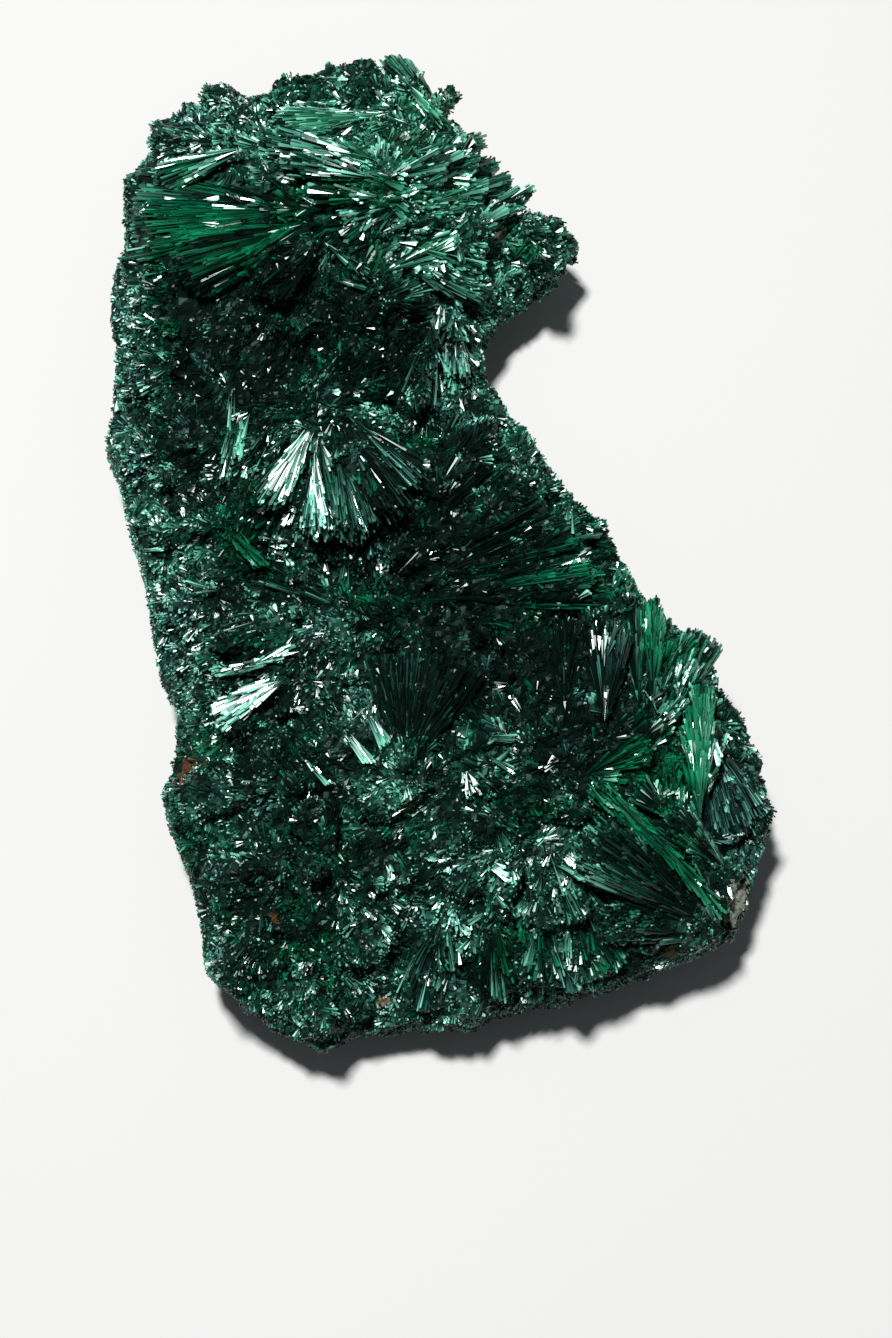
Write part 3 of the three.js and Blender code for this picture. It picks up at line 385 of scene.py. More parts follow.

# Patches of painted shade, painted light and the specimen's own tone: x and y readings, half sizes, and
# hundredths added to tone, glow and paleness. Those that darken the hollow below the crown, the trench and
# the crescent under the rounded lump are painted shade; those that lighten the left rim are painted light.
SHADING_AND_TONE = [
    # Crown.
    (-3.5, 20, 6.5, 4, 25, 40, 15), (-11.6, 20.3, 3.2, 2.4, 20, 0, 40), (1.5, 16, 3.4, 3.4, 20, 25, 12),
    (-1.2, 21.8, 2.4, 2, 15, 10, 15), (-9.4, 15.8, 4, 1.8, -50, -25, -40), (-11.8, 14.5, 2, 0.8, 10, 30, 5),
    (-7, 15.4, 1.6, 0.8, 0, 30, 0), (-9.4, 16.7, 1.6, 0.9, -30, -20, -10),
    (-5.9, 12.6, 1.8, 0.8, 60, 0, 50),
    # Hollow below it, and the neck.
    (-8.6, 12, 4.4, 1.8, -40, -15, -35), (-7, 8.4, 7, 4.4, -35, -15, -35),
    (-3.6, 9.6, 2, 1.5, -50, -20, -40), (-12, 4.8, 1.6, 1.8, -30, -20, -30), (-14.8, 8, 1, 9, 30, 0, 45),
    (-4.2, 8.9, 1.3, 1.2, -30, -10, -30), (-1.2, 8.6, 1, 1.3, -50, -10, -50),
    (-11.2, 8, 1.2, 1.2, -30, 0, -30), (-11.9, 5.3, 1.2, 1.2, -35, -10, -35),
    (-9.3, 11.1, 1, 1, -40, -10, -30), (-11.9, 13.1, 1.6, 0.9, 40, 10, 30), (0.5, 7, 2, 4.5, 25, -5, 35),
    (-8.6, 5.8, 2, 1.2, 20, 0, 20),
    # Middle dome and the trench beside it.
    (-6.4, -0.5, 1.2, 0.9, 30, 0, 30), (-2.7, -1.7, 1.2, 1, 25, 0, 25), (-2.2, 2, 1.8, 2.6, -15, -10, 10),
    (-4.2, 0, 1.6, 2, 20, 0, 20), (-9.4, -1, 1.6, 2.6, -30, -5, -20), (-9.9, -0.2, 0.7, 1, -60, 0, -60),
    (-9, -1.6, 0.7, 1, -60, 20, -60), (-7.8, -3.1, 0.7, 1, -60, 0, -60),
    # Dark middle and the flank to its right.
    (0.6, -1.7, 1.4, 1.4, -60, -10, -60), (1.1, 4.1, 1.2, 1.2, -20, -10, -20),
    (1.2, 1.8, 1.2, 1.4, -30, -10, -30), (-4.1, -3.8, 1.1, 0.9, -35, 0, -35),
    (-1.2, 1, 1.3, 1.5, 35, 0, 35), (1, -2.6, 5.4, 5.2, -50, -30, -50),
    (4.4, -6.8, 3.6, 3.2, -50, -30, -45), (7.2, -11, 2, 1.6, -40, -20, -30), (6.6, 0.4, 2, 2.6, 0, 25, 0),
    (7.6, -3.8, 1.8, 1.4, 0, 35, 0), (3.6, -15, 1.6, 1.2, -35, -10, -30), (-0.2, -2, 1, 1, -30, 0, -30),
    (-0.4, -5.3, 1, 1, -30, 0, -30), (-2.2, 1.5, 1, 1, -30, 0, -30), (-2.6, -2.8, 1, 1, 30, 0, 30),
    (3.5, 3, 0.9, 2, 25, 10, 25), (1.7, -4.4, 1, 1, 25, 0, 25), (5.6, -6.4, 0.9, 1.1, 30, 10, 30),
    # Left side.
    (-11.3, -4.9, 1, 1, 30, 0, 30), (-9.7, -7.6, 1, 0.8, -40, 0, -50), (-13, -3.6, 2, 4.4, 20, 0, 30),
    (-10.4, -8, 1.8, 2.2, 20, 0, 25), (-7.8, -11.4, 1.6, 1.2, -30, 0, -20), (-6, -5.4, 3, 1, 10, 0, 30),
    (-5.2, -5.3, 1.3, 0.6, 40, 0, 60), (-6.8, -17.4, 3.4, 3.6, -20, -10, -20),
    # Lower middle.
    (-1.9, -10, 0.9, 1, -30, 0, -30), (1.7, -10, 1, 1, -20, 0, -20), (-5.9, -12, 1, 1, -35, 0, -40),
    (3.1, -14.5, 1, 0.9, -40, -20, -40), (-0.2, -8, 1, 0.7, 30, 0, 30), (-8.2, -14.8, 1.4, 0.9, 30, 0, 30),
    (-7.7, -16.4, 1.1, 0.8, -30, 0, -30), (-5.5, -20.8, 0.9, 1.4, -35, 0, -35),
    (-9.9, -21.7, 1.2, 1.2, 30, 0, 35), (-4, -8.2, 1.1, 1.8, 25, 5, 30), (0.4, -9.4, 2, 2, -30, -10, -30),
    (-2.2, -14, 1.7, 0.8, 35, 0, 60), (-1.9, -16.2, 1.7, 0.4, -45, -20, -40),
    (-1.4, -10, 1.1, 1.4, -40, -10, -40), (-7, -12.5, 1.2, 1, -40, 0, -40),
    (3.4, -13.5, 1.2, 1.2, -40, -20, -40), (-6.2, -14.4, 1.6, 1, -40, -20, -40),
    (-5.6, -12.2, 1.2, 1.2, 25, 0, 30), (2.8, -11.6, 1.8, 1.5, 25, 0, 40),
    # Right side.
    (11.6, -11, 1.4, 4, 0, 35, 0), (13.8, -13.8, 1.5, 3.4, -20, -30, 10),
    (9.2, -8, 1.4, 1.6, -35, -20, -30), (9.4, -17, 2.4, 1.6, -40, -20, -30), (9, -13.4, 2, 1.6, 0, 40, 0),
    (7.7, -11, 1.5, 1.5, -50, -30, -50), (5.9, -15.4, 1.4, 1.2, 30, 20, 20),
    (8.9, -10, 1, 1, -30, -10, -30), (10.3, -12.3, 0.8, 1, -40, -10, -40),
    (8.7, -17.9, 1.2, 0.9, 50, 20, 20),
    # Lower dome and the bottom.
    (2.8, -22.2, 1.1, 1, -50, 0, -50), (7, -21.5, 1.1, 0.9, -40, 0, -40), (3.1, -19, 1, 0.8, 25, 0, 25),
    (3.2, -18, 3, 2.4, 10, 0, 20), (6.2, -18.4, 1.2, 1.4, 20, 20, 30), (3.5, -21.2, 1.4, 0.9, -30, 0, -30),
    (8.6, -19.6, 1.6, 1, -30, -10, -30), (0.2, -19.6, 1, 0.5, 80, 0, 120),
    (1.4, -20.7, 0.6, 0.5, 80, 0, 120), (-3.8, -20.4, 1.8, 1.8, 25, 5, 30),
]

# Places where the short crystals lie combed along the fans: x and y readings and half sizes.
COMBED = [
    (-3.5, 18.6, 8, 5.5), (-12, 15, 3, 3), (0.6, 8, 2, 4), (-5.5, 1, 3.4, 4), (7, -2.5, 2.6, 3),
    (10.5, -7, 3, 3), (11, -13, 3.5, 6), (9.5, -17, 4, 3.5), (2.8, -12, 2, 2), (4.5, -21.5, 4, 2),
]


def place(x, y, z):
    """Carries a reading along the line of sight from the reading sheet to its own height."""
    share = (EYE[2] - z) / (EYE[2] - READ_Z)
    return (np.array([x, y, READ_Z]) - EYE) * share + EYE + CENTRING


RIM = np.array([place(*one) for one in EDGE])
RIM_NEXT = np.roll(RIM, -1, axis=0)
DOME_AT = np.array([place(x, y, top) for x, y, _, _, top in DOMES])
DOME_HALF = np.array([(half_x, half_y) for _, _, half_x, half_y, _ in DOMES])


def edge_near(x, y):
    """How far a place is from the edge of the specimen, and the height of the edge there."""
    run = RIM_NEXT - RIM
    along = ((x - RIM[:, 0]) * run[:, 0] + (y - RIM[:, 1]) * run[:, 1]) / (run[:, :2] ** 2).sum(axis=1)
    along = np.clip(along, 0, 1)
    near = RIM + run * along[:, None]
    gaps = np.hypot(x - near[:, 0], y - near[:, 1])
    nearest = gaps.argmin()
    return gaps[nearest], near[nearest, 2]


def from_edge(points):
    """How far points are from the edge of the specimen."""
    return np.array([edge_near(x, y)[0] for x, y, _ in points])


def ground_height(x, y):
    """Height of the ground at a place, as in the part's source."""
    gap, height = edge_near(x, y)
    away = (((np.array([x, y]) - DOME_AT[:, :2]) / DOME_HALF) ** 2).sum(axis=1)
    domes = GROUND_LOW + (DOME_AT[:, 2] - GROUND_LOW) * np.maximum(0, 1 - away)
    return min(domes.max(), height + RIM_SLOPE * gap)


def settle(spot, lift):
    """Carries a reading down the line of sight to a height above the ground, step by step."""
    at = place(*spot, READ_Z)
    for _ in range(3):
        at = place(*spot, ground_height(at[0], at[1]) + lift)
    return at


rng = np.random.default_rng(SEED)


def unit(vectors):
    """Vectors of length one."""
    return vectors / np.maximum(np.linalg.norm(vectors, axis=-1, keepdims=True), 1e-9)


def rows(items, name, kind=float):
    """Triples of numbers that a mesh keeps for its corners or faces, one row for each."""
    values = np.empty(len(items) * 3, dtype=kind)
    items.foreach_get(name, values)
    return values.reshape(-1, 3)


def crystal_mesh(name, foot, tip, face, wide, thick, rough, look):
    """One mesh of slender crystals with a flat face, that widen from a pointed foot to near the tip."""
    axis = unit(tip - foot)
    side = unit(np.cross(axis, face))
    rise = np.cross(side, axis)
    length = np.linalg.norm(tip - foot, axis=1)
    shoulder = tip - axis * np.minimum(length * 0.4, POINT * wide)[:, None]
    half_wide = side * (wide / 2)[:, None]
    half_thick = rise * (thick / 2)[:, None]
    points = np.stack([
        foot + half_thick * 0.6,
        shoulder - half_wide + half_thick,
        shoulder - half_thick,
        shoulder + half_wide + half_thick,
        tip + half_thick * 0.6,
    ], axis=1)
    count, corners = points.shape[:2]
    pattern = np.array([(3, 1, 0), (2, 3, 0), (1, 2, 0), (1, 3, 4), (3, 2, 4), (2, 1, 4)])
    faces = np.arange(count)[:, None, None] * corners + pattern
    mesh = bpy.data.meshes.new(name)
    mesh.from_pydata(points.reshape(-1, 3) * MM, [], faces.reshape(-1, 3))
    looks = np.repeat(look[:, None], corners, axis=1)
    # Painted shade: each crystal is darker at its foot than at its tip.
    looks[:, 0, :3] *= FOOT_PAINTED_SHADE
    set_look(mesh, "POINT", looks, np.repeat(rough, corners))
    mesh.validate()
    return mesh


def set_look(mesh, domain, look, rough):
    """Keeps tone, glow, paleness, stain and roughness at the corners of a mesh."""
    attribute = mesh.attributes.new("look", "FLOAT_COLOR", domain)
    attribute.data.foreach_set("color", look.astype(np.float32).reshape(-1))
    attribute = mesh.attributes.new("rough", "FLOAT", domain)
    attribute.data.foreach_set("value", rough.astype(np.float32))


def turn_faces(axis, face, angle):
    """Turns the faces of crystals about their own axes."""
    face = unit(face - axis * (face * axis).sum(axis=1, keepdims=True))
    side = np.cross(axis, face)
    return face * np.cos(angle)[:, None] + side * np.sin(angle)[:, None]


def girth(share, root):
    """A fan's girth at a share of its length, against that of its crown."""
    spread = np.where(share > 0.5, 1.0, root + (1 - root) * share * 2)
    profile = np.interp(share, [0, 0.45, 0.9, 1], [0, 0.6, 1, 1])
    return spread * profile


def cloud(points, scale, shift):
    """Smooth noise from -1 to 1 at places in millimetres."""
    return np.array([noise.noise(Vector(point) * scale + Vector((shift, shift, shift))) for point in points])


def fan_frame(one):
    """Root, length and the three directions of a fan."""
    start = settle(one.start, one.lift[0])
    end = settle(one.end, one.lift[1])
    length = np.linalg.norm(end - start)
    axis = (end - start) / length
    across = unit(np.cross(axis, UP))
    return start, length, axis, across, np.cross(across, axis)


def put(crystals, foot, tip, fine, gleam, look, even=0):
    """Adds crystals to a list, in millimetres: feet, tips, the way their broad faces look, widths, depths,
    roughness, looks, brightness, and which of them lie level with a face turned to catch the light."""
    count = len(foot)
    axis = unit(tip - foot)
    mirror = unit(unit(MAIN_LIGHT - tip) + unit(EYE + CENTRING - tip))
    slope = (axis * mirror).sum(axis=1)
    half = np.linalg.norm(tip - foot, axis=1)[:, None] / 2
    low = (np.abs(slope) < STEEP) & (np.abs(slope) * half[:, 0] < TIPPED)
    catches = (rng.random(count) < gleam) & low
    half *= np.where(catches, 1 - (1 - even) * rng.uniform(*SHORTER, count), 1)[:, None]
    middle = (foot + tip) / 2 + mirror * (LEVEL_RISE * catches)[:, None]
    axis = unit(axis - mirror * (slope * catches)[:, None])
    away = rng.uniform(*TURNED, count) * rng.choice([-1, 1], count)
    angle = np.where(catches, rng.normal(0, CAUGHT, count) / np.maximum(1, gleam), away)
    wide = fine * rng.uniform(*WIDTHS, count)
    thick = wide * rng.uniform(*THICKNESS, count)
    rough = np.where(catches, rng.uniform(*SILKY, count), rng.uniform(*GLASSY, count))
    spark = even + (1 - even) * SPARK * rng.random((count, 1)) ** (SPARK - 1)
    crystals.append((middle - axis * half, middle + axis * half, turn_faces(axis, mirror, angle),
                     wide, thick, rough, look, spark, catches))


def dress_fan(crystals, one):
    """Lays bundles of crystals on the upper side of a fan, and sets its crown with their ends."""
    start, length, axis, across, up = fan_frame(one)
    fine = FINE * one.coarse

    def on_fan(share, angle, out):
        size = girth(share, one.root) * out
        return (start + axis * (share * length)[:, None]
                + across * (np.cos(angle) * size * one.wide / 2)[:, None]
                + up * (np.sin(angle) * size * one.deep / 2)[:, None])

    # Bundles, each with its own place, length and look.
    girdle = math.pi / 2 * (one.wide + one.deep) / 2
    number = max(3, int((1 - one.felt) * BUNDLES * girdle * max(1, length / 3)))
    angles = (rng.permutation(number) + rng.random(number)) / number * (math.pi + 2 * SKIRT) - SKIRT
    wides = rng.uniform(*BUNDLE_WIDE, number)
    halves = wides / girdle * math.pi / 2
    lasts = BUNDLE_END - 0.8 * rng.random(number) ** 1.7
    firsts = np.maximum(0.03, lasts - rng.uniform(*BUNDLE_LONG, number))
    outs = rng.uniform(*BUNDLE_OUT, number)
    tones = rng.uniform(-0.4, 0.4, number)
    glows = 2.2 * rng.random(number) ** 1.4
    pales = rng.uniform(0, 1.6, number) ** 1.5
    gleaming = rng.random(number) < one.gleam
    gleams = np.where(gleaming, (0.15 + 0.8 * one.gleam) * rng.uniform(0.6, 1, number), DULL)

    def look_of(bundle, aside, share):
        count = len(bundle)
        # Painted shade: crystals are darker towards the sides of their bundle, so each bundle looks rounded.
        tone = 0.42 + tones[bundle] - 0.3 * np.abs(aside) + rng.normal(0, 0.15, count)
        glow = one.glow * glows[bundle] * (1.2 - 0.5 * share) * rng.uniform(0.5, 1.4, count)
        # Gleaming bundles are made paler all through: a painted sheen around the crystals that catch the
        # light.
        pale = (one.pale * pales[bundle] + 0.5 * gleams[bundle]) * rng.uniform(0, 1.6, count)
        return np.stack([*np.clip([tone, glow, pale], 0, 1), np.zeros(count)], axis=1)

    # Crystals along the bundles, whose sides show.
    run = (lasts - firsts) * length
    many = np.maximum(3, LAYERS * wides / fine * np.maximum(1, run / LONGEST * 1.5)).astype(int)
    bundle = np.repeat(np.arange(number), many)
    count = len(bundle)
    aside = rng.uniform(-1, 1, count)
    span = np.minimum(run[bundle], LONGEST * (1 + one.even)) / length * rng.uniform(0.5, 1, count)
    last = lasts[bundle] - (lasts - firsts)[bundle] * np.maximum(0, rng.uniform(-0.15, 0.7, count))
    first = np.maximum(0.02, last - span)
    out = outs[bundle] * (1.01 - 0.03 * aside ** 2)
    foot = on_fan(first, angles[bundle] + halves[bundle] * aside * 1.2, out * rng.uniform(0.95, 1.0, count))
    tip = on_fan(last, angles[bundle] + halves[bundle] * aside, out * rng.uniform(0.995, 1.02, count))
    put(crystals, foot, tip, fine, gleams[bundle], look_of(bundle, aside, last), one.even)

    # Crystals inside the fan, whose ends show at the crown.
    ends = int((1 - one.felt) * ENDS * math.pi / 4 * one.wide * one.deep / fine ** 2)
    bundle = rng.integers(0, number, ends)
    aside = rng.uniform(-1, 1, ends)
    angle = angles[bundle] + halves[bundle] * aside
    out = np.sqrt(rng.random(ends))
    last = 0.9 + 0.12 * rng.random(number)[bundle] - 0.1 * out ** 2 + rng.normal(0, 0.015, ends)
    first = np.clip(last - rng.uniform(0.25, 0.4, ends), 0.05, 0.8)
    put(crystals, on_fan(first, angle, out), on_fan(last, angle, out * rng.uniform(1, 1.04, ends)),
        fine, gleams[bundle], look_of(bundle, aside, last), one.even)


def seen(reading):
    """Where the line of sight of a reading meets the solid, and the way out of it there."""
    eye = EYE + CENTRING
    at, normal, _, _ = tree.ray_cast(Vector(eye), Vector(place(*reading, 0.0) - eye))
    return at, normal


def lay_streak(crystals, start, end, wide, glow=0.1, gleam=0.9, pale=1, coarse=1.0):
    """Lays a streak of crystals on the solid, where the eye sees it."""
    start, end = np.array(start), np.array(end)
    length = np.linalg.norm(end - start)
    along = (end - start) / length
    aside = np.array([-along[1], along[0]])
    feet, tips = [], []
    for _ in range(int(STREAK_DENSE * wide * max(length, 1))):
        reach = min(length, STREAK_LONG) * rng.uniform(0.5, 1)
        begin = rng.uniform(0, length - reach + 1e-6)
        shift = aside * rng.uniform(-0.5, 0.5) * wide
        foot, out = seen(start + along * begin + shift * 0.7)
        tip, out_tip = seen(start + along * (begin + reach) + shift)
        if foot is None or tip is None or abs(foot.z - tip.z) > reach:
            continue
        feet.append(foot + out * ON_TOP[0])
        tips.append(tip + out_tip * ON_TOP[1])
    if not feet:
        return
    count = len(feet)
    # Bright tone and pale colour: a painted highlight on top of the crystals' own glint.
    look = np.stack([rng.normal(0.8, 0.15, count), glow * rng.uniform(0.6, 1.3, count),
                     pale * rng.uniform(0.6, 1.3, count), np.zeros(count)], axis=1)
    put(crystals, np.array(feet), np.array(tips), STREAK_FINE * coarse, gleam, np.clip(look, 0, 1), 0.5)


def near_fans(points):
    """Share of each place that long crystals cover, and the direction of the nearest fan there."""
    cover = np.zeros(len(points))
    nearest = np.full(len(points), np.inf)
    way = np.zeros((len(points), 3))
    for one in FANS:
        start, length, axis, across, up = fan_frame(one)
        share = (points - start) @ axis / length
        size = np.maximum(girth(np.clip(share, 0, 1), one.root), 0.15)
        away = np.hypot((points - start) @ across / (size * one.wide / 2),
                        (points - start) @ up / (size * one.deep / 2))
        inside = (away < COVER) & (share > 0) & (share < BUNDLE_END)
        cover = np.maximum(cover, inside * (1 - one.felt))
        gap = np.linalg.norm(points - (start + axis * np.clip(share, 0.3, 1.0)[:, None] * length), axis=1)
        closer = gap < nearest
        nearest[closer] = gap[closer]
        way[closer] = unit(points[closer] - (start - axis * 0.2 * length))
    return cover, way


def away_from(points, x, y, half_x, half_y):
    """Square of how far away a reading's place is from each point, against half sizes."""
    at = settle((x, y), SURFACE)
    return ((points[:, 0] - at[0]) / half_x) ** 2 + ((points[:, 1] - at[1]) / half_y) ** 2


def shading_and_tone_at(points):
    """What the patches of tone, painted shade and painted light add to tone, glow and paleness at each
    place.
    """
    shift = np.zeros((len(points), 3))
    for shading_and_tone in SHADING_AND_TONE:
        shift += np.exp(-away_from(points, *shading_and_tone[:4]))[:, None] * (np.array(shading_and_tone[4:]) / 100)
    return shift


def combed_at(points):
    """How far the short crystals lie combed at each place, from 0 to 1."""
    return np.max([np.exp(-away_from(points, *patch) ** 2) for patch in COMBED], axis=0)


def ground_look(points, height):
    """Look of the granular ground: tone and paleness follow the grain, with patches that glow or pale."""
    patch = cloud(points, *PATCHY)
    green = cloud(points, *GREENISH)
    fleck = cloud(points, *FLECKED)
    lump = cloud(points, *LUMPY)
    tone = 0.35 + 0.3 * height + 0.9 * lump + 0.4 * fleck + rng.normal(0, 0.12, len(points))
    glow = 0.08 + 0.6 * green + 0.5 * fleck
    margin = np.exp(-from_edge(points) / MARGIN)
    pale = 0.05 + 0.5 * patch + 0.3 * fleck + 0.2 * height + 0.6 * lump + 0.3 * margin
    return np.stack([*np.clip([tone, glow, pale], 0, 1), stain_at(points)], axis=1)


def stain_at(points):
    """Kind of stain at each place, as a share of four, or 0."""
    kind = np.zeros(len(points))
    for x, y, radius, one in STAINS:
        gap = np.linalg.norm(points - settle((x, y), STAIN_HIGH), axis=1)
        kind[gap < radius * rng.uniform(0.6, 1.15, len(points))] = one / OLIVE
    return kind


def keep_main_part(mesh):
    """Takes away the small parts of a mesh that are not joined to its main one."""
    whole = bmesh.new()
    whole.from_mesh(mesh)
    left = set(whole.verts)
    parts = []
    while left:
        part = [left.pop()]
        for corner in part:
            for edge in corner.link_edges:
                other = edge.other_vert(corner)
                if other in left:
                    left.remove(other)
                    part.append(other)
        parts.append(part)
    parts.sort(key=len)
    bmesh.ops.delete(whole, geom=sum(parts[:-1], []), context="VERTS")
    whole.to_mesh(mesh)
    whole.free()


def crust():
    """The solid with a fine granular relief in place of its facets."""
    source = cad.copy()
    source.data = cad.data.copy()
    scene.collection.objects.link(source)
    source.parent = None
    source.matrix_world = cad.matrix_world
    remesh = source.modifiers.new("even_facets", "REMESH")
    remesh.mode = "VOXEL"
    remesh.voxel_size = VOXEL * MM
    bpy.context.view_layer.update()
    mesh = bpy.data.meshes.new_from_object(source.evaluated_get(bpy.context.evaluated_depsgraph_get()))
    mesh.name = "crust"
    bpy.data.objects.remove(source)
    keep_main_part(mesh)
    points, normals = rows(mesh.vertices, "co") / MM, rows(mesh.vertex_normals, "vector")
    count = len(points)
    cover, _ = near_fans(points)
    grain = np.array([noise.voronoi(Vector(point) * GRAIN)[0][0] for point in points])
    height = 1.2 * (0.55 - grain) + 0.5 * cloud(points, *ROUGHENED) + rng.normal(0, 0.2, count)
    free = (1 - cover) * np.clip(points[:, 2] / 0.5, 0, 1)
    points = points + normals * (free * (RELIEF * height + LUMPS * cloud(points, *LUMPY) - LEVEL))[:, None]
    points[:, 2] = np.maximum(points[:, 2], 0)
    mesh.vertices.foreach_set("co", (points * MM).reshape(-1).astype(np.float32))
    look = ground_look(points, height)
    look[:, :3] = np.clip(look[:, :3] + shading_and_tone_at(points), 0, 1)
    # Painted shade: the crust is made darker at random, and darker still under the fans, so that it reads as
    # the shaded gaps between and beneath the crystals.
    look[:, :3] *= rng.random((count, 3)) ** (2, 3, 4) * (1, 0.8, 0.7) * (1 - 0.8 * cover)[:, None]

    # Each facet has the look of its first corner all over.
    owner = np.concatenate([[face.vertices[0]] * face.loop_total for face in mesh.polygons])
    set_look(mesh, "CORNER", look[owner], rng.uniform(*GRAINY, count)[owner])
    mesh.shade_flat()
    mesh.update()
    return mesh


def spots_on(mesh, amount):
    """Random places on a mesh, save its underside, and the way out of the mesh there."""
    mesh.calc_loop_triangles()
    corners = (rows(mesh.vertices, "co") / MM)[rows(mesh.loop_triangles, "vertices", int)]
    normal = np.cross(corners[:, 1] - corners[:, 0], corners[:, 2] - corners[:, 0])
    area = np.linalg.norm(normal, axis=1)
    weight = area * (normal[:, 2] > -0.4 * area)
    chosen = rng.choice(len(area), amount, p=weight / weight.sum())
    share = np.sort(rng.random((amount, 2)), axis=1)
    shares = np.stack([share[:, 0], share[:, 1] - share[:, 0], 1 - share[:, 1]], axis=1)
    return (corners[chosen] * shares[:, :, None]).sum(axis=1), unit(normal[chosen])


def scatter(mesh, crystals, amount, number, wide, fine, length, lean, rise, loose, gleam, least, over):
    """Sets tufts of crystals all over a mesh, leaning with the fan that is nearest."""
    spots, out = spots_on(mesh, amount)
    cover, way = near_fans(spots)
    kept = rng.random(amount) > cover * (1 - over)
    spots, out, way = spots[kept], out[kept], way[kept]
    count = len(spots)
    combed = combed_at(spots) if number > 1 else np.zeros(count)
    free = (1 - 0.7 * combed)[:, None]
    along = rise * free * out + lean * way + rng.normal(0, loose, (count, 3)) * free
    along += out * np.maximum(0, 0.1 - (along * out).sum(axis=1, keepdims=True))
    along = unit(along)
    reach = rng.uniform(*length, count) * (0.5 + 0.5 * np.clip(2 * out[:, 2], 0, 1))
    if number > 1:
        reach = reach * (0.6 + 0.55 * combed)
        fine = fine * (1 + 0.5 * np.repeat(combed, number))
    level = reach * (along * out).sum(axis=1)
    middle = spots + out * (0.12 - level / 2)[:, None] * (level > 0.24)[:, None]

    # Look of each tuft: most are dark, and those that gleam are few where the ground is dark.
    shading_and_tone = shading_and_tone_at(spots)
    look = ground_look(spots, np.zeros(count))
    look[:, 0] = look[:, 0] - 0.1 + rng.normal(0, 0.3, count)
    look[:, 1] *= rng.uniform(0, 2.2, count)
    look[:, 2] *= rng.uniform(0, 1.9, count) ** 3
    bright = gleam * np.clip(1 + 2.5 * shading_and_tone[:, 0] + shading_and_tone[:, 2], least, 2.5)
    gleams = np.where(rng.random(count) < bright, rng.uniform(0.25, 0.8, count), DULL)

    # Crystals of each tuft lie side by side and spread a little towards their tips.
    tuft = np.repeat(np.arange(count), number)
    total = len(tuft)
    across = unit(np.cross(along, out))[tuft]
    above = np.cross(across, along[tuft])
    aside = rng.uniform(-1, 1, total) if number > 1 else np.zeros(total)
    half = wide * rng.uniform(0.5, 1.2, count)[tuft] / 2
    shift = across * (aside * half)[:, None] + above * (rng.uniform(-0.4, 0.6, total) * half)[:, None]
    centre = middle[tuft] + along[tuft] * (reach[tuft] * rng.normal(0, 0.12, total))[:, None]
    arm = along[tuft] * (reach[tuft] * rng.uniform(0.3, 0.5, total))[:, None]
    look = look[tuft] + rng.normal(0, 0.15, (total, 4)) * (1, 1, 0.7, 0)
    # Painted shade: crystals are darker towards the sides of their tuft.
    look[:, 0] -= 0.25 * np.abs(aside)
    put(crystals, centre - arm + shift * 0.6, centre + arm + shift * 1.2, fine, gleams[tuft],
        np.clip(look, 0, 1))


def inside_box(foot, tip):
    """Crystals that stay in the room that the solid takes, with a little to spare."""
    low = np.array(CAD_BOUNDS[0]) / MM - (BESIDE, BESIDE, -OVER_TABLE)
    high = np.array(CAD_BOUNDS[1]) / MM + (BESIDE, BESIDE, ABOVE)
    return ((tip > low) & (tip < high) & (foot > low)).all(axis=1)


def height_over(around, points):
    """How high points lie over a mesh, below 0 inside it."""
    rise = np.empty(len(points))
    for index, point in enumerate(points):
        at, normal, _, gap = around.find_nearest(point)
        rise[index] = gap if (Vector(point) - at).dot(normal) > 0 else -gap
    return rise


def make_pieces(crystals, mesh, plain, glinting):
    """Makes the crystals into pieces of a bearable size, those that catch the light apart. Left out are
    those whose tips stand far out of the solid or lie deep in it, or whose feet hang over the mesh."""
    parts = [np.concatenate(column) for column in zip(*crystals)]
    foot, tip = parts[:2]
    kept = inside_box(foot, tip)
    rise = height_over(tree, tip[kept])
    near = (rise > -SUNK) & (rise < PROUD * np.minimum(1, AT_RIM + from_edge(tip[kept])))
    around = BVHTree.FromPolygons([corner.co / MM for corner in mesh.vertices],
                                  [tuple(face.vertices) for face in mesh.polygons])
    near &= height_over(around, foot[kept]) < HELD
    kept[kept] = near
    foot, tip, face, wide, thick, rough, look, spark, catches = (part[kept] for part in parts)
    # Painted shade and light: crystals that lie deep among the others are darkened, those on top brightened.
    painted_depth_shade = np.interp(rise[near], (-SUNK, PROUD), DEPTH_PAINTED_SHADE)[:, None]
    look[:, :3] = np.clip((look[:, :3] + shading_and_tone_at(tip)) * spark * painted_depth_shade, 0, 1)
    look[:, 3] = stain_at(tip)
    for name, chosen, material in (("crystals", ~catches, plain), ("glints", catches, glinting)):
        chosen = np.nonzero(chosen)[0]
        pieces = math.ceil(len(chosen) / PER_PIECE)
        for index, part in enumerate(np.array_split(chosen, pieces), 1):
            label = f"{name}_{index}"
            crystal = (item[part] for item in (foot, tip, face, wide, thick, rough, look))
            add_piece(label, crystal_mesh(label, *crystal), material)


def add_object(name, data):
    """Adds an object to the scene."""
    added = bpy.data.objects.new(name, data)
    scene.collection.objects.link(added)
    return added


def add_piece(name, mesh, material):
    """Adds one piece of the specimen to the scene."""
    mesh.materials.clear()
    mesh.materials.append(material)
    piece = add_object(name, mesh)
    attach(piece, BODY)
    return piece


def new_material(name, values):
    """A material, and its shader with constant values on its own sockets."""
    material = bpy.data.materials.new(name)
    material.use_nodes = True
    shader = material.node_tree.nodes["Principled BSDF"]
    for socket, value in values.items():
        shader.inputs[socket].default_value = value
    return material, shader


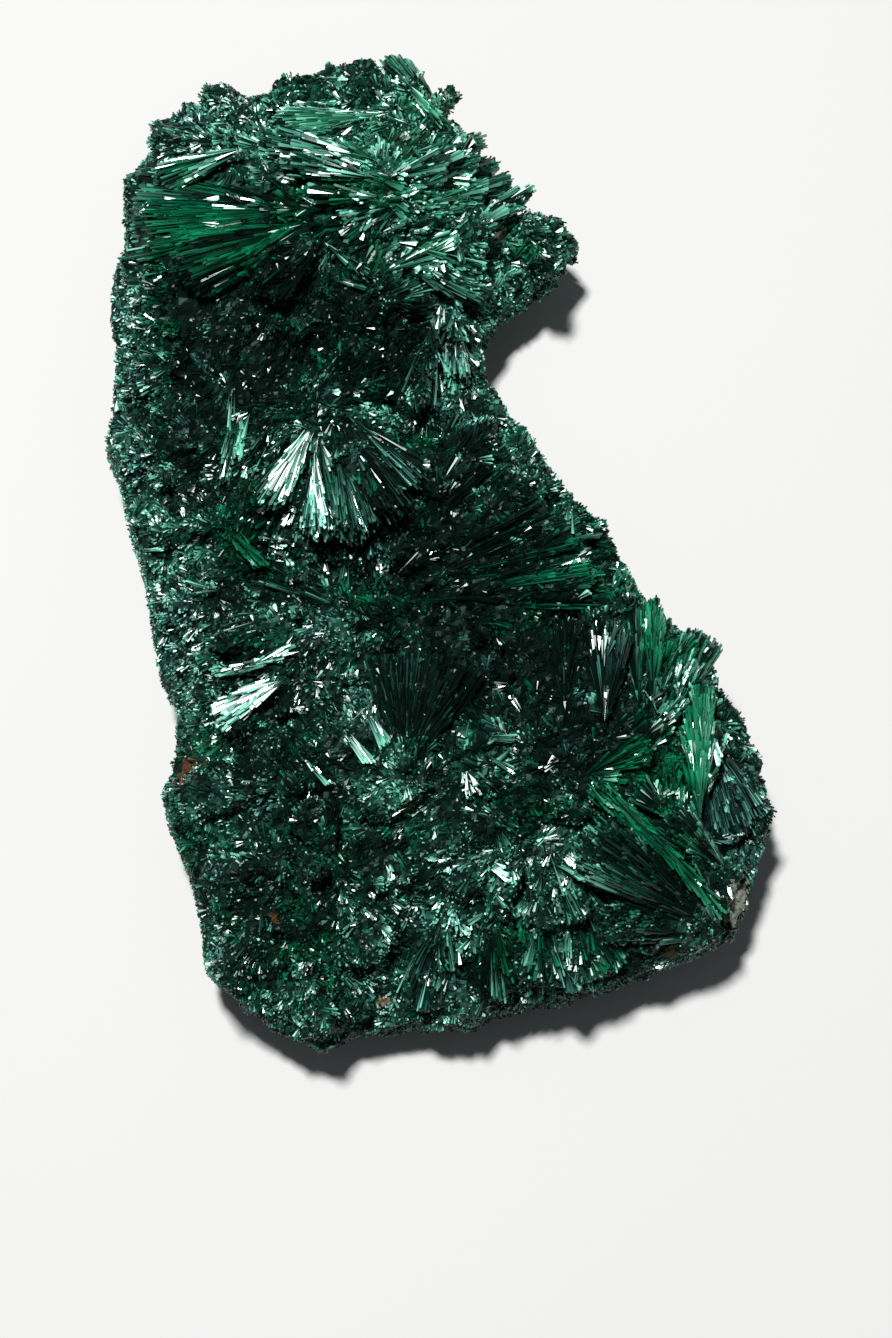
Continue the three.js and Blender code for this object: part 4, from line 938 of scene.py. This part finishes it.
def malachite_material(name, ior, gloss, tint):
    """Dark green crystal: black-green, forest green, emerald where light enters, teal and pale silk; the
    pale silk also serves as painted sheen.
    """
    material, shader = new_material(name, {"IOR": ior, "Specular IOR Level": gloss, "Specular Tint": tint})
    nodes = material.node_tree.nodes
    links = material.node_tree.links

    def mix(factor, first, second):
        node = nodes.new("ShaderNodeMix")
        node.data_type = "RGBA"
        for index, value in ((0, factor), (6, first), (7, second)):
            if isinstance(value, bpy.types.NodeSocket):
                links.new(value, node.inputs[index])
            else:
                node.inputs[index].default_value = value
        return node.outputs[2]

    def ramp(value, stops):
        node = nodes.new("ShaderNodeValToRGB")
        while len(node.color_ramp.elements) < len(stops):
            node.color_ramp.elements.new(0.5)
        for element, (position, colour) in zip(node.color_ramp.elements, stops):
            element.position = position
            element.color = (*colour, 1) if isinstance(colour, tuple) else (colour, colour, colour, 1)
        links.new(value, node.inputs[0])
        return node.outputs[0]

    place_node = nodes.new("ShaderNodeTexCoord")
    patches = nodes.new("ShaderNodeTexNoise")
    patches.inputs["Scale"].default_value = PATCHES
    patches.inputs["Detail"].default_value = 3
    links.new(place_node.outputs["Object"], patches.inputs["Vector"])
    attribute = nodes.new("ShaderNodeAttribute")
    attribute.attribute_name = "look"
    split = nodes.new("ShaderNodeSeparateColor")
    links.new(attribute.outputs["Color"], split.inputs[0])
    tone, glow, pale = split.outputs
    stain = attribute.outputs["Alpha"]
    colour = mix(glow, ramp(tone, DARK), mix(patches.outputs[0], *GREEN))
    colour = mix(pale, colour, mix(tone, *PALE_AND_SHEEN))
    colour = mix(ramp(stain, STAINED), colour, ramp(stain, ROCK))
    links.new(colour, shader.inputs["Base Color"])
    polish = nodes.new("ShaderNodeAttribute")
    polish.attribute_name = "rough"
    vary = nodes.new("ShaderNodeMath")
    vary.operation = "MULTIPLY"
    links.new(polish.outputs["Fac"], vary.inputs[0])
    links.new(ramp(patches.outputs[0], POLISH), vary.inputs[1])
    links.new(vary.outputs[0], shader.inputs["Roughness"])
    return material


def area_light(name, at, size, power, colour):
    """A square soft light that looks at the specimen."""
    light = bpy.data.lights.new(name, "AREA")
    light.size = size
    light.energy = power
    light.color = colour
    lamp = add_object(name, light)
    lamp.location = at
    lamp.rotation_euler = (-Vector(at)).to_track_quat("-Z", "Y").to_euler()
    lamp.visible_camera = False


scene = bpy.context.scene
cad = frame["nodes"][NODE]
tree = BVHTree.FromPolygons((rows(cad.data.vertices, "co") / MM).tolist(),
                            [tuple(face.vertices) for face in cad.data.polygons])

plain_crystal = malachite_material("malachite_crystal", ior=1.5, gloss=0.35, tint=(0.6, 1, 0.9, 1))
ground_crystal = malachite_material("malachite_ground", ior=1.5, gloss=0.08, tint=(0.6, 1, 0.9, 1))
bright_crystal = malachite_material("malachite_glint", ior=1.85, gloss=0.5, tint=(0.85, 1, 0.97, 1))
ground = crust()
collected = []
# A fan that is all felt has no long crystals, and only gives the short ones their direction.
for one_fan in FANS + BLADES:
    if one_fan.felt < 1:
        dress_fan(collected, one_fan)
for streak in STREAKS:
    lay_streak(collected, *streak)
scatter(ground, collected, **TUFTS)
scatter(ground, collected, **SINGLES)
make_pieces(collected, ground, plain_crystal, bright_crystal)
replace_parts(add_piece("crust", ground, ground_crystal), NODE)

table = bpy.data.meshes.new("table")
table.from_pydata([(x * TABLE_HALF, y * TABLE_HALF, 0) for x, y in ((-1, -1), (1, -1), (1, 1), (-1, 1))],
                  [], [(0, 1, 2, 3)])
table.materials.append(new_material("table", TABLE)[0])
floor = add_object("table", table)

area_light("main_light", tuple(MAIN_LIGHT * MM), **MAIN)
area_light("fill_light", FILL_LIGHT, **FILL)
world = bpy.data.worlds.new("studio")
world.use_nodes = True
sky = world.node_tree.nodes["Background"]
sky.inputs[0].default_value = SKY
sky.inputs[1].default_value = SKY_POWER
scene.world = world
scene.view_settings.view_transform = "Standard"

camera_data = bpy.data.cameras.new("camera")
camera_data.sensor_width = SENSOR
camera_data.lens = LENS
camera = add_object("camera", camera_data)
camera.location = tuple((EYE + CENTRING) * MM)
camera.rotation_euler = (math.radians(TILT), 0, 0)
scene.camera = camera

bpy.context.view_layer.update()
